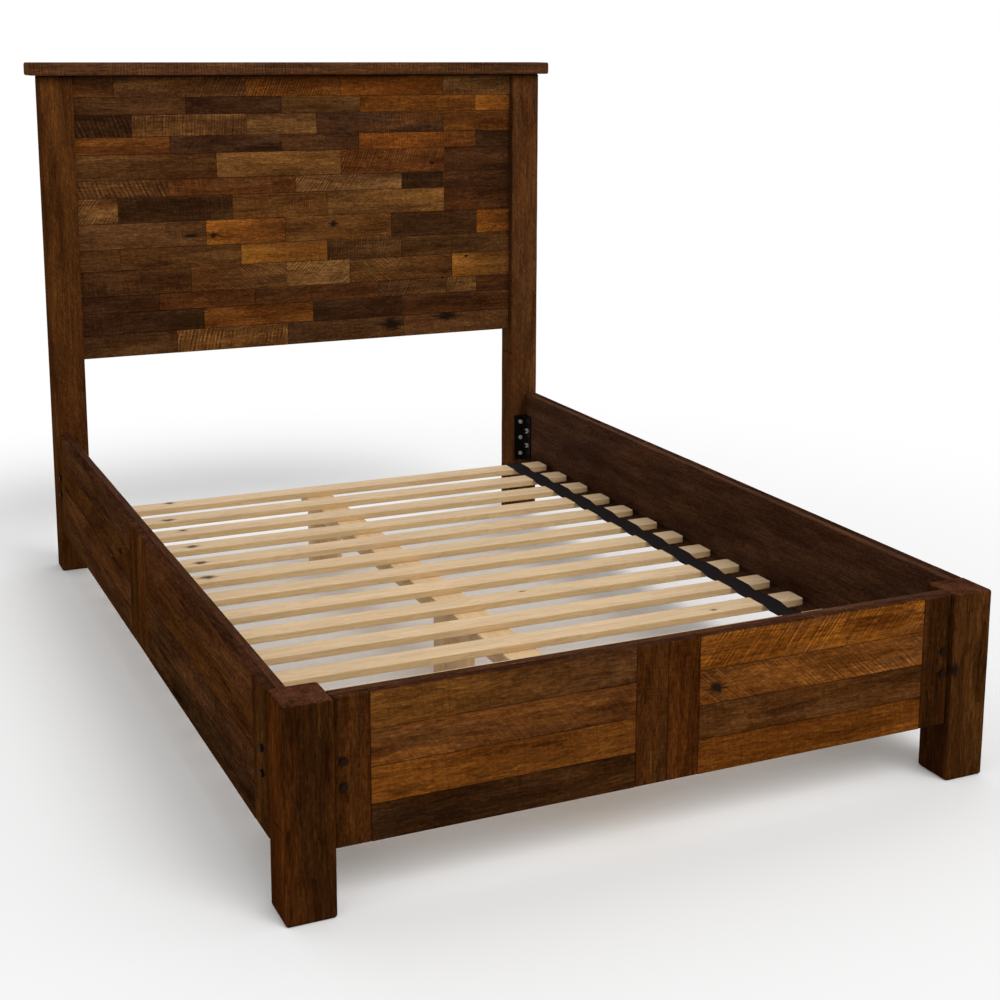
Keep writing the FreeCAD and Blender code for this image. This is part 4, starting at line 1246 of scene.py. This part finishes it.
@dataclass
class Deck:
    """Slats, their straps, and the ledgers and centre beam that carry them."""

    slats: int = 14
    slat_arris: float = 0.0015
    slat_corner: float = 0.009
    bearer_arris: float = 0.002
    strap_width: float = 0.048
    strap_thick: float = 0.0018
    sag: float = 0.0055
    slat_steps: int = 9
    gap_steps: int = 15
    round_steps: int = 36
    edge_power: float = 0.35
    face_power: float = 0.6

    def build(self, pine: Finish, plain: Finish, webbing: Finish) -> None:
        """Build and dress the deck.

        Args:
            pine: finish of the slats and the beam.
            plain: finish of the ledgers.
            webbing: finish of the straps.
        """
        for number, node in enumerate(self.slat_nodes(), 1):
            # The slats' narrow faces take a darker tan, painted shade in part
            board = Board(*node_box(node), X, Z, Tone.PINE, Marks.PLANED, self.slat_arris,
                          corner=self.slat_corner, seed=Seed.SLAT + number, knot=SLAT_KNOTS.get(number),
                          second=Tone.PINE_WARM, edge_tone=Tone.PINE_EDGE, rim=0.05)
            timber(f"{node}_pine", [board], pine, node, DECK_BODY)
        for number, side in enumerate(("left", "right")):
            node = f"{side}_ledger"
            board = Board(*node_box(node), Y, X, Tone.STAIN, Marks.PLANED, self.bearer_arris,
                          seed=Seed.LEDGER + number, second=Tone.CHOCOLATE, rim=0.1)
            timber(f"{node}_wood", [board], plain, node)
            self.strap(f"{side}_slat_strap", webbing)
        bearers = {"centre_beam": (Y, Z), "centre_head_leg": (Z, Y), "centre_foot_leg": (Z, Y),
                   "centre_beam_cleat": (X, Y)}
        for number, (node, (grain, thick)) in enumerate(bearers.items()):
            board = Board(*node_box(node), grain, thick, Tone.PINE_WARM, Marks.PLANED, self.bearer_arris,
                          seed=Seed.BEAM + number, second=Tone.PINE_EDGE, rim=0.05)
            timber(f"{node}_pine", [board], pine, node)

    def slat_nodes(self) -> list[str]:
        """The slats' nodes from the headboard on."""
        return [f"slat_{number:02d}" for number in range(1, self.slats + 1)]

    def strap_line(self, top: float) -> np.ndarray:
        """The line that a strap follows along the bed.

        It lies level over each slat and hangs in a circular arc, the sag deep, in each gap.

        Args:
            top: height of the strap's middle over the slats.

        Returns:
            Rows of place along the bed and height.
        """
        spans = [node_box(node) for node in reversed(self.slat_nodes())]
        route = []
        for number, (low, high) in enumerate(spans):
            flat = np.linspace(low[Y], high[Y], self.slat_steps)
            route.append(np.stack([flat, np.full(self.slat_steps, top)], 1))
            if number + 1 < len(spans):
                gap = spans[number + 1][0][Y] - high[Y]
                radius = (gap ** 2 / 4 + self.sag ** 2) / (2 * self.sag)
                across = np.linspace(-gap / 2, gap / 2, self.gap_steps)[1:-1]
                fall = np.sqrt(radius ** 2 - across ** 2) - (radius - self.sag)
                route.append(np.stack([high[Y] + gap / 2 + across, top - fall], 1))
        return np.concatenate(route)

    def strap(self, node: str, webbing: Finish) -> None:
        """Lay a strap over the slats.

        A flat oval section, whose cosine and sine are raised to powers, follows the strap's
        line.

        Args:
            node: the strap's node.
            webbing: its finish.
        """
        low, high = node_box(node)
        route = self.strap_line(high[Z] - self.strap_thick / 2)
        way = np.gradient(route, axis=0)
        way /= np.linalg.norm(way, axis=1)[:, None]
        run = np.concatenate([[0.0], np.cumsum(np.linalg.norm(np.diff(route, axis=0), axis=1))])
        angle = np.linspace(0.0, 2 * math.pi, self.round_steps, endpoint=False)
        cosine, sine = np.cos(angle), np.sin(angle)
        side = np.sign(cosine) * np.abs(cosine) ** self.edge_power * self.strap_width / 2
        rise = np.sign(sine) * np.abs(sine) ** self.face_power * self.strap_thick / 2
        side = np.broadcast_to(side, (len(route), self.round_steps))
        x = (low[X] + high[X]) / 2 + side
        y = route[:, :1] - way[:, 1:] * rise
        z = route[:, 1:] + way[:, :1] * rise
        points = np.stack([x, y, z], -1).reshape(-1, 3)
        grid = np.arange(len(points)).reshape(x.shape)
        ahead = np.roll(grid, -1, 1)
        quads = np.stack([grid[:-1], grid[1:], ahead[1:], ahead[:-1]], -1).reshape(-1, 4)
        faces = quads.tolist() + [grid[0].tolist(), grid[-1][::-1].tolist()]
        piece = make_mesh(f"{node}_webbing", points, faces)
        weave = np.stack([side, np.broadcast_to(run[:, None], side.shape), np.zeros_like(side)], -1)
        add_values(piece, "weave", weave.reshape(-1, 3))
        dress(piece, webbing, node, DECK_BODY)


@dataclass
class Hardware:
    """Brackets and fasteners, which keep the frame's own meshes."""

    black: Metal = Metal("bracket_black", (13, 12, 12), 0.0, 0.38, 0.12)
    stained: Metal = Metal("bolt_stained", (30, 19, 13), 0.0, 0.34, 0.004)
    zinc: Metal = Metal("zinc_steel", (212, 203, 184), 0.45, 0.34)

    def dress(self) -> None:
        """Give the brackets and fasteners their finishes."""
        black, stained, zinc = self.black.build(), self.stained.build(), self.zinc.build()
        finishes = {"rail_bolts": stained, "rail_bolt_nuts": zinc, "lag_screws": zinc, "wood_screws": zinc}
        for name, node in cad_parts.items():
            finish = black if name.endswith("_bracket") else finishes.get(name)
            if finish is not None:
                for slot in node.material_slots:
                    slot.material = finish
                log.info("%s in %s", name, finish.name)


@dataclass
class Studio:
    """Floor, light and camera. Angles are in radians, sizes in metres."""

    sky: float = 0.74
    key: float = 1.30
    key_spread: float = 0.60
    key_turn: float = 0.35
    key_rise: float = 0.82
    key_place: tuple[float, float, float] = (2.5, -2.5, 3.0)
    floor_size: float = 80.0
    floor_shade: float = 0.93
    floor_rough: float = 0.9
    shadow_reach: tuple[float, float] = (1.7, 3.0)
    place: tuple[float, float, float] = (-1.4487, -3.5091, 1.4371)
    azimuth: float = 0.42820
    pitch: float = -0.18700
    roll: float = 0.00307
    lens: float = 59.045
    sensor: float = 36.0
    shift: float = -0.14
    sight: float = 200.0

    def build(self) -> None:
        """Set the stage, the lights and the camera."""
        self.floor()
        self.world()
        self.sun()
        self.camera()
        bpy.context.scene.view_settings.view_transform = "Standard"

    def floor(self) -> None:
        """A wide pale floor that keeps the shadow near the bed and is white further off."""
        half = self.floor_size / 2
        points = np.array([(-half, -half, 0.0), (half, -half, 0.0), (half, half, 0.0), (-half, half, 0.0)])
        piece = make_mesh("floor", points, [[0, 1, 2, 3]])
        tree = Surface("floor_white")
        tree.finish((*(self.floor_shade,) * 3, 1.0), self.floor_rough, 0.0)
        away = tree.ease(tree.vector("LENGTH", tree.place()), *self.shadow_reach)
        white = tree.make("Emission").outputs[0]
        tree.put(tree.end, tree.choose(tree.times(away, tree.shown()), tree.shader.outputs[0], white))
        piece.data.materials.append(tree.material)

    def world(self) -> None:
        """A white sky, brighter to the camera than to the object."""
        world = bpy.data.worlds.new("studio")
        bpy.context.scene.world = world
        tree = Graph(world)
        white = (1.0, 1.0, 1.0, 1.0)
        shades = (tree.make("Background", {"Color": white, "Strength": strength}).outputs[0]
                  for strength in (self.sky, 1.0))
        tree.make("OutputWorld", {"Surface": tree.choose(tree.shown(), *shades)})

    def sun(self) -> None:
        """A broad soft key light from above and in front, a little to the right."""
        data = bpy.data.lights.new("key", "SUN")
        data.energy = self.key
        data.angle = self.key_spread
        lamp = bpy.data.objects.new("key", data)
        bpy.context.scene.collection.objects.link(lamp)
        level = math.cos(self.key_rise)
        way = Vector((-level * math.sin(self.key_turn), level * math.cos(self.key_turn),
                      -math.sin(self.key_rise)))
        turn = way.to_track_quat("-Z", "Y").to_matrix().to_4x4()
        lamp.matrix_world = Matrix.Translation(self.key_place) @ turn

    def camera(self) -> None:
        """The photograph's point of view."""
        data = bpy.data.cameras.new("camera")
        data.lens = self.lens
        data.sensor_width = self.sensor
        data.shift_y = self.shift
        data.clip_end = self.sight
        camera = bpy.data.objects.new("camera", data)
        bpy.context.scene.collection.objects.link(camera)
        level = math.cos(self.pitch)
        east, north = math.sin(self.azimuth), math.cos(self.azimuth)
        ahead = Vector((east * level, north * level, math.sin(self.pitch)))
        right = Vector((north, -east, 0.0))
        above = right.cross(ahead)
        right, above = (math.cos(self.roll) * right + math.sin(self.roll) * above,
                        math.cos(self.roll) * above - math.sin(self.roll) * right)
        turn = Matrix((right, above, -ahead)).transposed().to_4x4()
        camera.matrix_world = Matrix.Translation(self.place) @ turn
        bpy.context.scene.camera = camera


STRIP_WOOD = Wood("barnwood")
FACING_WOOD = Wood("facing_barnwood", clouds=3.0, coarse=1.5, streak=1.4, fibre=1.8, fleck=2.2, rings=0.5,
                   sawn=0.6, stains=1.0, blend=0.6)
POST_WOOD = Wood("post_barnwood", clouds=2.2, streak=1.8, fibre=1.6, fleck=1.5, dash=1.8, rings=0.3,
                 stains=0.8, blend=0.6)
LEG_WOOD = Wood("leg_barnwood", clouds=2.4, coarse=1.7, streak=1.9, fibre=1.8, fleck=1.2, dash=2.0,
                rings=0.6, scratch=1.5, worked=0.12, stains=1.0, blend=0.6)
STAINED_WOOD = Wood("stained_board", clouds=2.6, coarse=1.3, fibre=1.0, dash=0.8, rings=0.5, scratch=0.6,
                    sawn=0.3, stains=0.5, holes=False, rough=0.50, gloss=0.004, relief=0.0006)
PINE_WOOD = Wood("bare_pine", clouds=0.35, coarse=0.45, streak=0.5, fibre=0.3, fleck=0.1, dash=0.15,
                 rings=0.2, scratch=0.05, sawn=0.0, stains=0.0, holes=False,
                 knot_colour=(0.06, 0.026, 0.010), rough=0.62, gloss=0.2, relief=0.0003)


def main() -> None:
    """Build the bed's looks, then the studio."""
    logging.basicConfig(level=logging.INFO)
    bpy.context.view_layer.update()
    woods = (STRIP_WOOD, FACING_WOOD, POST_WOOD, LEG_WOOD, STAINED_WOOD, PINE_WOOD)
    strips, facing, posts, legs, plain, pine = (wood.build() for wood in woods)
    Headboard().build(strips, posts, plain)
    Rails().build(facing, legs, plain)
    Deck().build(pine, plain, Webbing().build())
    Hardware().dress()
    Studio().build()


if __name__ == "__main__":
    main()
